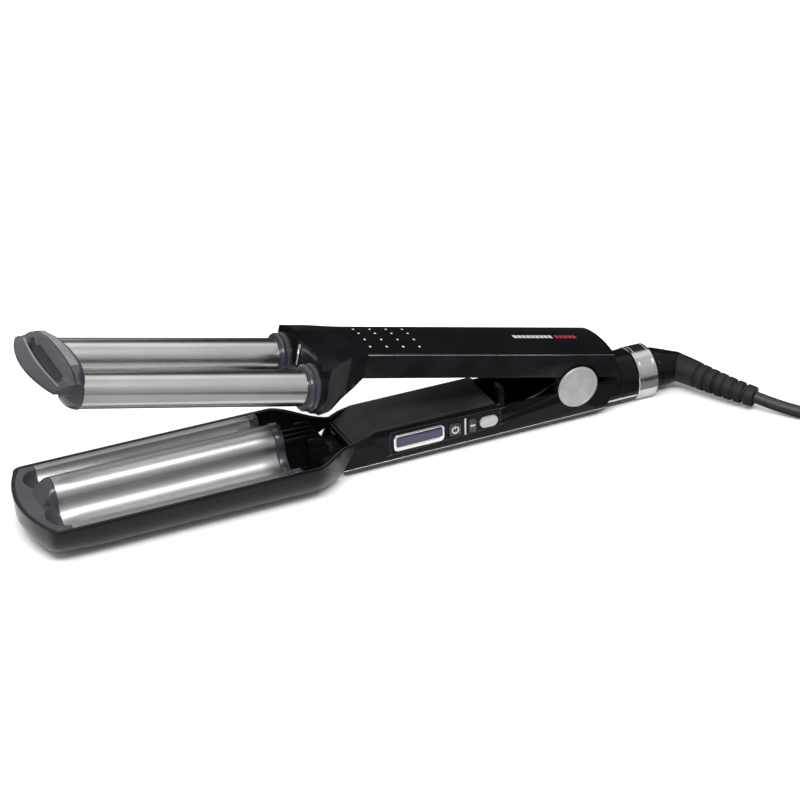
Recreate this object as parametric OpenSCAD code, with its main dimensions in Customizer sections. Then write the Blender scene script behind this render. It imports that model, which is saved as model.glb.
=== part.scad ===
// Triple-barrel hair waver. Two barrels on the upper arm press hair into a wave plate on the lower arm.
// +X runs from the tips to the cord, +Z is up, and the origin is on the resting face, under the hinge.

/* [Arms] */
// Height of the hinge axis above the resting face
hinge_z = 21.5; // [21.5:0.1:22.5]
// Angle between the arms when they stand open
open_angle = 13.2; // [8:0.1:13.2]
// Width across the handles
handle_w = 34; // [34:0.5:35]
// Wall of the moulded shells
wall = 2; // [1.8:0.1:2.2]

/* [Barrels and wave plate] */
// Radius of each round barrel
barrel_r = 9; // [8.6:0.1:9.2]
// Distance from the middle plane to a barrel's axis
barrel_y = 18.6; // [18.4:0.1:18.8]
// Height of the barrels' axes over the hinge axis, with the arms closed
barrel_v = 1.46; // [1.2:0.01:1.6]
// Front end of the barrels
barrel_front = -270.8; // [-271:0.1:-270]
// Rear end of the barrels
barrel_rear = -157.2; // [-157.4:0.1:-157]
// Radius of the ridge in the middle of the wave plate
ridge_r = 8.5; // [8.3:0.1:8.6]
// Height of the ridge's axis over the hinge axis
ridge_v = 0.5; // [0.3:0.1:0.7]
// Front end of the wave plate
plate_front = -275.5; // [-276:0.1:-275]
// Rear end of the wave plate
plate_rear = -163.7; // [-164:0.1:-163]
// Thickness of the wave plate
plate_t = 1.6; // [1.4:0.1:1.8]

/* [Lower jaw] */
// Width of the jaw shell
jaw_w = 69; // [69:0.5:70]
// Foremost point of the jaw
jaw_front = -293.5; // [-294:0.1:-293]
// Radius of the jaw's lower corners
jaw_corner = 20; // [18:1:20]

/* [Hinge and swivel] */
// Radius of the hinge pin
pin_r = 3; // [2.8:0.1:3.2]
// Radial running clearance of the hinge pin in its bushes
pin_gap = 0.04; // [0.02:0.01:0.08]
// Radius of the round hinge covers
disc_r = 11.25; // [11:0.05:11.5]
// Radius of the swivel's metal ring
ring_r = 14.5; // [14.2:0.1:14.6]

/* [Mains lead] */
// Diameter of the lead
cord_d = 6.4; // [6:0.1:6.6]
// Radius of the coil at the middle of its turns
coil_r = 38; // [36:1:40]

/* [Hidden] */
$fn = 48;

handle_y = handle_w / 2;
jaw_y = jaw_w / 2;
floor_z = -hinge_z;
valley_r = norm([barrel_y, barrel_v - ridge_v]) - ridge_r;
tangent_a = atan2(barrel_v - ridge_v, barrel_y);
lip_z = -0.7;
lip_y = 32.3;
lip_a = asin((barrel_v - lip_z) / valley_r);
bow_r = 67.8;
neck_front = -152;
neck_rear = -122;
handle_front = -129;
handle_rear = 23.8;
trim_z = -16.5;
skin_y = handle_y - wall;
panel_z = -7.5;
ear_r = 12;
notch_r = ear_r + 0.6;
ear_t = 4;
ear_y = handle_y - ear_t / 2;
lug_y = handle_y - ear_t - 0.4;
swivel_r = 11.2;
swivel_z = swivel_r - hinge_z;
crown_r = 69.9;
crown_v = -49.5;
cover_v = 18.1;
leaf_front = -293.1;
leaf_rear = -266.5;
relief_route = [
    [62, 0, 11.6], [66.5, -5, 11.3], [70.5, -12, 10.6], [74.5, -20, 9.8], [79, -28.5, 9], [84, -37, 8.1],
    [90, -45.5, 7]
];
relief_radii = [5, 7.5, 7.6, 7.3, 6.8, 6.2, 5.3];
cord_route = [
    [90, -45.5, 7], [97, -54.5, 5.2], [104, -63, 4], [112, -70.5, 3.4], [123, -76, 3.2], [136, -78, 3.2],
    [150, -77.5, 3.2], [164, -74, 3.2], [177, -70.5, 3.2], [190, -68.5, 3.2]
];
coil_x = 193;
coil_y = -24;
coil_half = 1.5 * cord_d;
coil_h = 4 * cord_d;
tail_route = [
    [178, -65.7, 22.4], [187, -68, 22.8], [197, -68.3, 24.8], [207, -66.5, 28], [215.6, -61.4, 31],
    [222, -54, 32.5]
];
plug_at = [222, -54, 32.5];
plug_turn = 60;

function arc(c, r, a, b, n) = [for (i = [0:n]) let (t = a + (b - a) * i / n) c + r * [cos(t), sin(t)]];
function reversed(list) = [for (i = [len(list) - 1:-1:0]) list[i]];
function mirrored(list) = [for (i = [len(list) - 1:-1:0]) [list[i][0], -list[i][1]]];
function smooth(t) = let (s = max(0, min(1, t))) s * s * (3 - 2 * s);
function unit(v) = v / norm(v);

// Half width of the jaw's neck, which narrows from the jaw to the handle
function neck_y(x) = jaw_y + (handle_y - jaw_y) * smooth((x - neck_front) / (neck_rear - neck_front));

// Cross-section line of the wave plate, drop below its top face
function wave_line(drop) = concat(
    [[-lip_y, lip_z - drop]],
    arc([-barrel_y, barrel_v], valley_r + drop, 180 + lip_a, 360 - tangent_a, 20),
    arc([0, ridge_v], ridge_r - drop, 180 - tangent_a, tangent_a, 20),
    arc([barrel_y, barrel_v], valley_r + drop, 180 + tangent_a, 360 - lip_a, 20),
    [[lip_y, lip_z - drop]]
);

// Frames
module at_hinge() {
    translate([0, 0, hinge_z]) children();
}

module on_arm() {
    at_hinge() rotate([0, open_angle, 0]) children();
}

// A section in Y and Z, drawn from x0 to x1
module along_x(x0, x1) {
    translate([x0, 0, 0]) rotate([90, 0, 90]) linear_extrude(x1 - x0) children();
}

// A profile in X and Z, drawn from y0 to y1
module along_y(y0, y1) {
    translate([0, y1, 0]) rotate([90, 0, 0]) linear_extrude(y1 - y0) children();
}

module block(low, high) {
    translate(low) cube(high - low);
}

module rod_x(x0, x1, y, z, r) {
    translate([x0, y, z]) rotate([0, 90, 0]) cylinder(h = x1 - x0, r = r);
}

module rod_y(y0, y1, x, z, r) {
    translate([x, y1, z]) rotate([90, 0, 0]) cylinder(h = y1 - y0, r = r);
}

module ring_x(x0, x1, y, z, r_out, r_in) {
    translate([x0, y, z]) rotate([0, 90, 0]) difference() {
        cylinder(h = x1 - x0, r = r_out);
        translate([0, 0, -1]) cylinder(h = x1 - x0 + 2, r = r_in);
    }
}

// A solid skinned over a list of rings, each with the same count of points
module skin(rings) {
    last = len(rings) - 1;
    sides = len(rings[0]);
    walls = [for (i = [0:last - 1]) for (k = [0:sides - 1]) let (m = (k + 1) % sides)
        [i * sides + k, i * sides + m, (i + 1) * sides + m, (i + 1) * sides + k]];
    first_cap = [for (k = [sides - 1:-1:0]) k];
    last_cap = [for (k = [0:sides - 1]) last * sides + k];
    polyhedron([for (ring = rings) each ring], concat(walls, [first_cap, last_cap]));
}

// A tube of changing radius along a list of points
module sweep(route, radii, sides, up) {
    last = len(route) - 1;
    skin([for (i = [0:last]) let (
        t = unit(route[min(i + 1, last)] - route[max(i - 1, 0)]),
        s = unit(cross(t, up)),
        w = cross(s, t)
    ) [for (k = [0:sides - 1]) route[i] + radii[i] * (cos(360 * k / sides) * s + sin(360 * k / sides) * w)]]);
}

// Lower jaw
module jaw_plan(inset) {
    side = [for (i = [0:12]) let (x = neck_front + (neck_rear - neck_front) * i / 12) [x, neck_y(x) - inset]];
    corner = arc([jaw_front + 12.5, jaw_y - 6.5], 6.5 - inset, 145, 90, 5);
    bow = arc([jaw_front + bow_r, 0], bow_r - inset, 180, 180 - 24.5, 8);
    half = concat(bow, corner, side, [[handle_front + 9, handle_y - inset]]);
    polygon(concat(half, mirrored(half)));
}

module jaw_section(inset) {
    r = jaw_corner - inset;
    cy = jaw_y - jaw_corner;
    cz = floor_z + jaw_corner;
    polygon(concat(
        [[-jaw_y + inset, lip_z + 2 * inset]],
        arc([-cy, cz], r, 180, 270, 10),
        arc([cy, cz], r, 270, 360, 10),
        [[jaw_y - inset, lip_z + 2 * inset]]
    ));
}

module jaw_side(inset) {
    polygon([
        [-296, lip_z + inset * 2], [-150, lip_z + inset * 2], [-141, -1.4 + inset * 2], [-134, -2.4 + inset * 2],
        [-126, -3.2 + inset * 2], [-119, -3.2 + inset * 2], [-119, floor_z + inset], [-262, floor_z + inset],
        [-276, -20.4 + inset], [-285, -17.6 + inset], [-291, -13.4 + inset], [-296, -6 + inset]
    ]);
}

module jaw_solid(inset) {
    intersection() {
        along_x(-296, -119) jaw_section(inset);
        translate([0, 0, -40]) linear_extrude(60) jaw_plan(inset);
        along_y(-40, 40) jaw_side(inset);
    }
}

module jaw_shell() {
    color("#141416") at_hinge() difference() {
        jaw_solid(0);
        jaw_solid(wall);
        along_y(-40, 40) polygon([[-121, 5], [-124.7, -3], [-131.7, -17], [-131.7, -25], [-110, -25], [-110, 5]]);
    }
}

module lower_end_cap() {
    color("#55535f") at_hinge() difference() {
        union() {
            intersection() {
                translate([0, 0, -12]) linear_extrude(12 + lip_z) jaw_plan(wall);
                block([-296, -40, -12], [plate_front, 40, 10]);
                along_x(-296, -119) jaw_section(wall);
            }
            intersection() {
                rod_x(-286, plate_front, 0, ridge_v, ridge_r);
                along_y(-9, 9) polygon([
                    [plate_front, lip_z - 1], [plate_front, 9.1], [-276, 9.1], [-284.5, lip_z], [-284.5, lip_z - 1]
                ]);
            }
        }
        for (s = [-1, 1]) translate([plate_front, s * barrel_y, barrel_v]) sphere(r = valley_r);
        block([-296, -40, -12.5], [-286, 40, -8]);
    }
}

module wave_plate() {
    color("#a9a5a2") at_hinge() along_x(plate_front, plate_rear)
        polygon(concat(wave_line(0), reversed(wave_line(plate_t))));
}

module lower_collar() {
    color("#55535f") at_hinge() along_x(plate_rear, plate_rear + 5)
        polygon(concat(wave_line(-0.4), [[30.5, -8], [27, -12.5], [-27, -12.5], [-30.5, -8]]));
}

module lower_bracket() {
    color("#1b1b1d") at_hinge() difference() {
        union() {
            block([-158.7, -5.5, -19.4], [-136, 5.5, -3]);
            block([-147, -11, -19.4], [-136, 11, -3]);
            for (i = [-1:1]) block([-158.7, i * 4.6 - 0.9, -3], [-137.5, i * 4.6 + 0.9, 1.8]);
            for (i = [-2, 2]) block([-147, i * 4.6 - 0.9, -3], [-137.5, i * 4.6 + 0.9, 1.8]);
            block([-158.7, -21, -17], [-137, 21, -15]);
            for (i = [-4, -3, -2, 2, 3, 4]) block([-158.7, i * 4.6 - 0.9, -15], [-148, i * 4.6 + 0.9, -12.5]);
            block([-136, -8, -14.6], [-118, 8, -9]);
        }
        rod_x(-160, -117, 0, -12, 2);
    }
}

module heat_spreader() {
    color("#b4b6b8") at_hinge() along_x(plate_front + 4, plate_rear - 3)
        polygon(concat([for (p = wave_line(plate_t)) if (abs(p[0]) < 27) p], [[26.5, -13.5], [-26.5, -13.5]]));
}

module lower_heater() {
    color("#d9d6cf") at_hinge() for (s = [-1, 1]) block([-262, s * 13 - 8, -15.3], [-176, s * 13 + 8, -13.5]);
}

module heat_shield() {
    color("#8f8d88") at_hinge() block([-266, -22, -16.2], [-172, 22, -15.3]);
}

// Lower handle
module handle_section(inset) {
    r = 8 - inset;
    polygon(concat(
        [[-handle_y + inset, 20]],
        arc([8 - handle_y, floor_z + 8], r, 180, 270, 8),
        arc([handle_y - 8, floor_z + 8], r, 270, 360, 8),
        [[handle_y - inset, 20]]
    ));
}

module handle_side() {
    polygon([
        [-131, trim_z], [-124.5, -3], [-120, -1.2], [-113, 0.2], [-46, 0.2], [-43, -1.5], [-10, -1.5], [10, -1.6],
        [handle_rear, -1.6], [handle_rear, -4], [18.7, -13.5], [17, trim_z]
    ]);
}

module power_hole(gap) {
    block([-73.4 - gap, -20, panel_z - 3.4 - gap], [-66.8 + gap, -handle_y + 3, panel_z + 3.4 + gap]);
}

module level_hole(gap) {
    block([-62.4 - gap, -20, panel_z - 3.8 - gap], [-58.2 + gap, -handle_y + 3, panel_z + 3.8 + gap]);
}

module ion_hole(gap) {
    for (x = [-53.2, -49]) rod_y(-20, -handle_y + 3, x, panel_z, 3 + gap);
    block([-53.2, -20, panel_z - 3 - gap], [-49, -handle_y + 3, panel_z + 3 + gap]);
}

module lower_handle() {
    color("#121214") at_hinge() difference() {
        union() {
            intersection() {
                along_x(-135, 30) difference() {
                    handle_section(0);
                    translate([-skin_y, trim_z + 1.8]) square([2 * skin_y, 40]);
                }
                along_y(-40, 40) handle_side();
            }
            for (s = [-1, 1]) rod_y(s * ear_y - ear_t / 2, s * ear_y + ear_t / 2, 0, 0, ear_r);
            difference() {
                block([-126, -skin_y - 0.5, trim_z + 0.5], [-124.4, skin_y + 0.5, -5.2]);
                block([-127, -8, -14.6], [-120, 8, -9]);
            }
        }
        rod_y(-20, 20, 0, 0, pin_r);
        block([-104, -20, panel_z - 4.6], [-76, -10, panel_z + 4.6]);
        power_hole(0.15);
        level_hole(0.15);
        ion_hole(0.15);
        rod_x(8, 30, 0, swivel_z, 6.4);
        block([-64.6, -20, panel_z - 4.8], [-63.6, -handle_y + 0.5, panel_z + 4.8]);
    }
}

module lower_inner_cover() {
    color("#2e2e31") at_hinge() difference() {
        along_y(-skin_y, skin_y) polygon([
            [-124.2, -5.2], [-113, 1.6], [-47, 1.6], [-44.5, -2.6], [-116, -2.6], [-124.2, -7.6]
        ]);
        block([-112, -skin_y + wall, -8], [-49, skin_y - wall, -0.4]);
    }
}

module lower_base() {
    color("#161618") at_hinge() difference() {
        intersection() {
            along_x(-131.6, 30) handle_section(0);
            block([-131.5, -20, floor_z], [17, 20, trim_z - 0.4]);
            along_y(-20, 20) polygon([
                [-131.5, trim_z - 0.4], [-129, floor_z], [16, floor_z], [17, trim_z - 0.4]
            ]);
        }
        block([-127, -skin_y + 4, -19.5], [12, skin_y - 4, -10]);
        for (x = [-60, 4]) translate([x, 0, floor_z - 1]) cylinder(h = 4, r = 1.3);
        for (x = [-122, -20]) for (s = [-1, 1]) translate([x, s * 6, floor_z - 1]) cylinder(h = 1.4, r = 2.5);
    }
}

module lower_trim() {
    color("#b9b4a6") at_hinge() intersection() {
        along_x(-131.3, 17) difference() {
            handle_section(-0.25);
            handle_section(wall);
        }
        block([-131.3, -20, trim_z - 0.4], [17, 20, trim_z]);
    }
}

module display_bezel() {
    color("#c9c9cc") at_hinge() difference() {
        block([-104, -handle_y - 0.5, panel_z - 4.6], [-76, -handle_y + 2.5, panel_z + 4.6]);
        block([-102.6, -20, panel_z - 2.2], [-77, -handle_y + 3, panel_z + 3.4]);
    }
}

module display_lens() {
    color("#565870") at_hinge()
        block([-102.6, -handle_y - 0.25, panel_z - 2.2], [-77, -handle_y + 1, panel_z + 3.4]);
}

module display_module() {
    color("#6f7280") at_hinge()
        block([-103, -handle_y + 2.5, panel_z - 4.4], [-76.6, -handle_y + 5, panel_z + 4.4]);
}

module control_board() {
    color("#2d6b3f") at_hinge() union() {
        block([-106, -12, panel_z - 5.6], [-42, -10.6, panel_z + 4.6]);
        for (x = [-70.1, -60.3, -51.1]) block([x - 1.6, -12.9, panel_z - 1.6], [x + 1.6, -12, panel_z + 1.6]);
        block([-98, -10.6, panel_z - 4], [-86, -7.6, panel_z + 4]);
    }
}

module board_clip() {
    color("#37373a") at_hinge() for (x = [-109, -42]) difference() {
        block([x, -skin_y, panel_z - 7], [x + 3, -7, panel_z + 4]);
        block([x - 1, -12, panel_z - 5.6], [x + 4, -6, panel_z + 4.6]);
    }
}

module divider_bar() {
    color("#e6e6e8") at_hinge()
        block([-64.6, -handle_y - 0.2, panel_z - 4.8], [-63.6, -handle_y + 0.5, panel_z + 4.8]);
}

module power_button() {
    color("#2b2b2f") at_hinge() union() {
        intersection() {
            power_hole(0);
            block([-80, -handle_y - 0.9, -20], [-60, -handle_y + wall + 0.1, 0]);
        }
        block([-74.3, -skin_y + 0.1, panel_z - 4.2], [-65.9, -skin_y + 0.8, panel_z + 4.2]);
    }
}

module level_key() {
    color("#c4c4c8") at_hinge() union() {
        intersection() {
            level_hole(0);
            block([-63, -handle_y - 0.9, -20], [-57, -handle_y + wall + 0.1, 0]);
        }
        block([-63, -skin_y + 0.1, panel_z - 4.6], [-57.6, -skin_y + 0.8, panel_z + 4.6]);
    }
}

module ion_button() {
    color("#d4d4d8") at_hinge() union() {
        intersection() {
            ion_hole(0);
            block([-58, -handle_y - 0.9, -20], [-44, -handle_y + wall + 0.1, 0]);
        }
        block([-57, -skin_y + 0.1, panel_z - 3.8], [-45.2, -skin_y + 0.8, panel_z + 3.8]);
    }
}

// Hinge
module hinge_pin() {
    color("#c8c8cc") at_hinge() rod_y(-handle_y, handle_y, 0, 0, pin_r);
}

module hinge_disc(side) {
    color("#b8b8bb") at_hinge() translate([0, side * handle_y, 0]) rotate([-90 * side, 0, 0]) union() {
        cylinder(h = 0.8, r = disc_r);
        translate([0, 0, 0.8]) cylinder(h = 0.5, r = disc_r - 0.6);
    }
}

module hinge_disc_near() {
    hinge_disc(-1);
}

module hinge_disc_far() {
    hinge_disc(1);
}

module hinge_bushes() {
    color("#b08d4a") on_arm() for (s = [-1, 1]) difference() {
        rod_y(s * 9.2 - (lug_y - 9.2), s * 9.2 + (lug_y - 9.2), 0, 0, pin_r + 1.4);
        rod_y(-20, 20, 0, 0, pin_r + pin_gap);
    }
}

module torsion_spring() {
    turns = 5;
    steps = 14;
    coil = [for (i = [0:turns * steps]) let (a = 200 - 360 * i / steps)
        [5.2 * cos(a), -4.4 + 8.8 * i / (turns * steps), 5.2 * sin(a)]];
    start = coil[0];
    end = coil[turns * steps];
    lower_leg = [[-24, start[1], -9], [-15, start[1], -6.5]];
    upper_leg = [[-13, end[1], 3.2], [-24, end[1], 8]];
    route = concat(lower_leg, coil, upper_leg);
    color("#9a9a9e") at_hinge() sweep(route, [for (p = route) 0.7], 6, [0, 1, 0]);
}

module wire_guide() {
    color("#232326") at_hinge() union() {
        block([-38, -3, trim_z + wall], [-35, 3, 0.5]);
        rod_y(-3, 3, -36.5, 0.5, 1.5);
        block([-43.5, -6, trim_z + wall], [-41.5, 10, -6]);
    }
}

// Swivel and mains lead
module above_floor() {
    intersection() {
        children();
        block([0, -20, floor_z], [70, 20, 10]);
    }
}

module swivel_housing() {
    color("#141416") at_hinge() difference() {
        union() {
            rod_x(10, 18.8, 0, swivel_z, 6.4);
            above_floor() rod_x(18.8, 38.5, 0, swivel_z, ring_r - 0.4);
        }
        rod_x(35.5, 60, 0, swivel_z, 7);
        rod_x(11, 60, 0, swivel_z, 4.5);
    }
}

module swivel_ring() {
    color("#cfcfd2") at_hinge() above_floor() ring_x(38.5, 50, 0, swivel_z, ring_r, 7);
}

module swivel_head() {
    color("#161618") at_hinge() union() {
        rod_x(36.5, 50.4, 0, swivel_z, 6.95);
        rod_x(50.4, 53.5, 0, swivel_z, swivel_r);
        hull() {
            rod_x(53.5, 55, 0, swivel_z, swivel_r);
            translate([65.5, -3.6, 11.3 - hinge_z]) sphere(r = 8, $fn = 32);
        }
    }
}

module strain_relief() {
    color("#1d1d20") difference() {
        sweep([for (i = [1:len(relief_route) - 1]) relief_route[i]],
            [for (i = [1:len(relief_radii) - 1]) relief_radii[i]], 16, [0, 0, 1]);
        translate([65.5, -3.6, 11.3]) sphere(r = 8, $fn = 32);
    }
}

module cord_tube() {
    color("#1a1a1c") sweep(cord_route, [for (p = cord_route) cord_d / 2], 10, [0, 0, 1]);
}

module cord_coil() {
    h = coil_half;
    color("#1a1a1c") translate([coil_x, coil_y, 0]) rotate_extrude($fn = 64) polygon([
        [coil_r - h, 2], [coil_r - h + 2, 0], [coil_r + h - 2, 0], [coil_r + h, 2],
        [coil_r + h, coil_h - 2], [coil_r + h - 2, coil_h], [coil_r - h + 2, coil_h], [coil_r - h, coil_h - 2]
    ]);
}

module cord_tail() {
    color("#1a1a1c") sweep(tail_route, [for (p = tail_route) cord_d / 2], 10, [0, 0, 1]);
}

module cord_tie() {
    color("#2a2a2c") translate([coil_x - coil_r, coil_y, 0]) difference() {
        block([-coil_half - 1, -6, 0], [coil_half + 1, 6, coil_h + 1]);
        block([-coil_half, -7, -1], [coil_half, 7, coil_h]);
    }
}

module plug_frame() {
    translate(plug_at) rotate([0, 0, plug_turn]) children();
}

module plug_body() {
    color("#1a1a1c") plug_frame() union() {
        hull() {
            rod_x(0, 1, 0, 0, 4.2);
            rod_x(18, 19, 0, 0, 5.6);
        }
        hull() {
            for (s = [-1, 1]) rod_x(19, 27, s * 5, 0, 6.6);
            for (s = [-1, 1]) rod_x(36, 52, s * 10.8, 0, 6.85);
        }
    }
}

module plug_pins() {
    color("#cfcfd2") plug_frame() for (s = [-1, 1]) union() {
        rod_x(52, 69, s * 9.3, 0, 2);
        translate([69, s * 9.3, 0]) sphere(r = 2);
    }
}

// Upper arm
module barrel(side) {
    color("#a9a5a2") on_arm() ring_x(barrel_front, barrel_rear, side * barrel_y, barrel_v, barrel_r, barrel_r - 1);
}

module barrel_near() {
    barrel(-1);
}

module barrel_far() {
    barrel(1);
}

module heater_rod(side) {
    color("#d9d6cf") on_arm() union() {
        rod_x(-262, -166, side * barrel_y, barrel_v, 4.5);
        for (x = [-264, -214, -168]) rod_x(x, x + 4, side * barrel_y, barrel_v, barrel_r - 1);
    }
}

module heater_rod_near() {
    heater_rod(-1);
}

module heater_rod_far() {
    heater_rod(1);
}

module collar(side) {
    color("#55535f") on_arm() union() {
        rod_x(barrel_rear, barrel_rear + 3, side * barrel_y, barrel_v, 11.6);
        rod_x(barrel_rear + 3, barrel_rear + 9, side * barrel_y, barrel_v, 12);
    }
}

module collar_near() {
    collar(-1);
}

module collar_far() {
    collar(1);
}

module upper_end_cap() {
    color("#55535f") on_arm() union() {
        for (s = [-1, 1]) translate([barrel_front, s * barrel_y, barrel_v]) intersection() {
            sphere(r = barrel_r + 0.4);
            block([-20, -20, -20], [0, 20, 20]);
        }
        difference() {
            intersection() {
                translate([0, 0, -12]) linear_extrude(30) intersection() {
                    translate([leaf_front + 80, 0]) circle(r = 80, $fn = 120);
                    translate([leaf_rear - 83, 0]) circle(r = 83, $fn = 120);
                    translate([leaf_front, -30.5]) square([40, 61]);
                }
                union() {
                    along_y(-30.5, 30.5) polygon([
                        [leaf_front, 4.8], [leaf_front, 5.6], [-286.4, 7.8], [-285.6, 7.9], [-284.6, 7.2], [-283, 6.3],
                        [-281.5, 6.2], [-279.5, 7.1], [-277, 9.5], [-275.5, 10.6], [-273, 11], [-270, 11.2],
                        [-268, 11], [leaf_rear, 10.2], [leaf_rear, 9.4], [-275.6, 9.4], [-277.5, 8.1], [-281, 5],
                        [-285, 4.6]
                    ]);
                    for (s = [-1, 1]) along_y(s * 19.5 - 9.5, s * 19.5 + 9.5) polygon([
                        [barrel_front, 1.5], [-280, 1.5], [-289, 5], [-281, 5.6], [-277, 8.6], [barrel_front, 10.6]
                    ]);
                }
            }
            for (s = [-1, 1]) rod_x(barrel_front, leaf_rear + 1, s * barrel_y, barrel_v, barrel_r);
        }
    }
}

// Section of the bracket at u, from its crown down the sides to its foot
function hood_ring(u, half, edge, foot_half, foot) = concat(
    [for (k = [-6:6]) [u, half * k / 6, 20.4 - (20.4 - edge) * pow(abs(k) / 6, 2.2)]],
    [[u, half, edge - 3], [u, foot_half, foot + 5], [u, foot_half, foot + 1.5], [u, foot_half - 2.5, foot]],
    [[u, 2.5 - foot_half, foot], [u, -foot_half, foot + 1.5], [u, -foot_half, foot + 5], [u, -half, edge - 3]]
);

module upper_bracket() {
    socket_r = 12.7;
    color("#161618") on_arm() difference() {
        union() {
            skin([
                hood_ring(-152.2, 28, 14.2, 25, -9), hood_ring(-148, 27.5, 14.4, 25, -11.4),
                hood_ring(-141, 23.2, 16.4, 22.5, -10.4), hood_ring(-134, 19.4, 17.6, 18.6, -5.4),
                hood_ring(-128, 17.3, 18.2, 17, -0.9), hood_ring(-123.6, 16.9, 18.3, 16.9, 4.4)
            ]);
            for (s = [-1, 1]) rod_x(-152.2, -148.2, s * barrel_y, barrel_v, socket_r);
        }
        for (s = [-1, 1]) rod_x(-153, -148.2, s * barrel_y, barrel_v, 12.05);
        block([-153, -12.6, -20], [-120, 12.6, 4.2]);
        block([-146, -17, -20], [-132, 17, 12]);
        translate([-139, 0, 11]) cylinder(h = 6, r = 2.05);
    }
}

module upper_handle_base() {
    color("#131315") on_arm() difference() {
        union() {
            difference() {
                along_y(-handle_y, handle_y) polygon([
                    [-123.5, 5.3], [19.5, 5.3], [23.4, 5.6], [18.2, 17.7], [-123.5, 17.7]
                ]);
                block([-121.5, -skin_y, 7.3], [10, skin_y, 20]);
            }
            for (s = [-1, 1]) rod_y(s * 9.2 - (lug_y - 9.2), s * 9.2 + (lug_y - 9.2), 0, 0, 8);
        }
        block([9, -13, 4], [26, 13, 14]);
        for (s = [-1, 1]) rod_y(s * 15.2 - 2.6, s * 15.2 + 2.6, 0, 0, notch_r);
        rod_y(-5.7, 5.7, 0, 0, 6.7);
        rod_y(-20, 20, 0, 0, pin_r + 1.4);
    }
}

module upper_handle_cover() {
    color("#101012") on_arm() union() {
        along_x(-123.5, 18) polygon(concat(
            [[-handle_y, cover_v], [-handle_y, cover_v + 0.2]],
            reversed(arc([0, crown_v], crown_r, 76.1, 103.9, 16)),
            [[handle_y, cover_v + 0.2], [handle_y, cover_v]]
        ));
        block([-121.4, 0.1 - skin_y, 16.2], [9.9, skin_y - 0.1, cover_v + 0.1]);
    }
}

module upper_trim() {
    color("#c4c4c8") on_arm() difference() {
        block([-123.5, -handle_y - 0.2, cover_v - 0.4], [18, handle_y + 0.2, cover_v]);
        block([-121.5, -skin_y, 17], [10, skin_y, 19]);
    }
}

module grip_dots() {
    color("#d8d8da") on_arm() for (y = [-10.5, -3.5, 4, 10.5]) for (i = [0:3])
        translate([-120 + 9.1 * i, y, crown_v + sqrt(crown_r * crown_r - y * y) - 0.5])
            cylinder(h = 0.8, r = 0.7, $fn = 24);
}

module name_bar() {
    color("#d8d8da") on_arm() block([-34, -2, 19.8], [3.5, 2, 20.55]);
}

module bracket_screws() {
    color("#8d8d91") on_arm() translate([-139, 0, 9.8]) union() {
        cylinder(h = 2.2, r = 3.4);
        cylinder(h = 6, r = 2);
    }
}

module base_screws() {
    color("#8d8d91") at_hinge() for (x = [-60, 4]) translate([x, 0, floor_z + 0.6]) union() {
        cylinder(h = 1.4, r = 1.3);
        translate([0, 0, 1.4]) cylinder(h = 3, r = 1);
    }
}

module rubber_feet() {
    color("#202022") at_hinge() for (x = [-122, -20]) for (s = [-1, 1])
        translate([x, s * 6, floor_z]) cylinder(h = 0.4, r = 2.5);
}

jaw_shell();
lower_end_cap();
wave_plate();
lower_collar();
lower_bracket();
heat_spreader();
lower_heater();
heat_shield();
lower_handle();
lower_inner_cover();
lower_base();
lower_trim();
display_bezel();
display_lens();
display_module();
control_board();
board_clip();
divider_bar();
hinge_pin();
hinge_disc_near();
hinge_disc_far();
torsion_spring();
swivel_housing();
swivel_ring();
base_screws();
rubber_feet();
power_button();
level_key();
ion_button();
swivel_head();
strain_relief();
cord_tube();
cord_coil();
cord_tail();
cord_tie();
plug_body();
plug_pins();
upper_end_cap();
barrel_near();
barrel_far();
heater_rod_near();
heater_rod_far();
collar_near();
collar_far();
upper_bracket();
upper_handle_base();
upper_handle_cover();
upper_trim();
grip_dots();
name_bar();
hinge_bushes();
bracket_screws();
wire_guide();
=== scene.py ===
import bpy
import bmesh
import math
from mathutils import Matrix, Vector


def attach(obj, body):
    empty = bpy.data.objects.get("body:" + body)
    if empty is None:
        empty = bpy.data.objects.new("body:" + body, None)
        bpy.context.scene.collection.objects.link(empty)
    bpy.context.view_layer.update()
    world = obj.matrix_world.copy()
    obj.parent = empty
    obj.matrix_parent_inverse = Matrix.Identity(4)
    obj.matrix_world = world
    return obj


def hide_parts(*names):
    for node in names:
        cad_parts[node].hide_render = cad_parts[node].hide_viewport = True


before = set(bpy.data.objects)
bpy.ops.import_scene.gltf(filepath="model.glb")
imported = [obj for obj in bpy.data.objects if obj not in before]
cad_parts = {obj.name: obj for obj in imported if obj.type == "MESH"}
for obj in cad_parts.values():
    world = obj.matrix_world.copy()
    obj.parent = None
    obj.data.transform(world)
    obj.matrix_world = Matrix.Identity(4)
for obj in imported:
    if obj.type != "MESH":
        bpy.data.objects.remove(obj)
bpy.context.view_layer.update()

mm = 0.001
hinge = {"height": 21.5, "openAngle": 13.2}


# bench tools: sizes are typed in millimetres, meshes are kept in metres

def spot(x, y, z):
    return Vector((x, y, z)) * mm


def clearBench():
    if bpy.context.object and bpy.context.object.mode != "OBJECT":
        bpy.ops.object.mode_set(mode="OBJECT")
    bpy.ops.object.select_all(action="DESELECT")


def pick(obj):
    clearBench()
    obj.select_set(True)
    bpy.context.view_layer.objects.active = obj
    return obj


def applyPlace(obj):
    pick(obj)
    bpy.ops.object.transform_apply(location=True, rotation=True, scale=True)
    return obj


def inEdit(obj):
    pick(obj)
    bpy.ops.object.mode_set(mode="EDIT")
    bpy.ops.mesh.select_all(action="SELECT")


def outOfEdit(obj):
    bpy.ops.object.mode_set(mode="OBJECT")
    return obj


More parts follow.
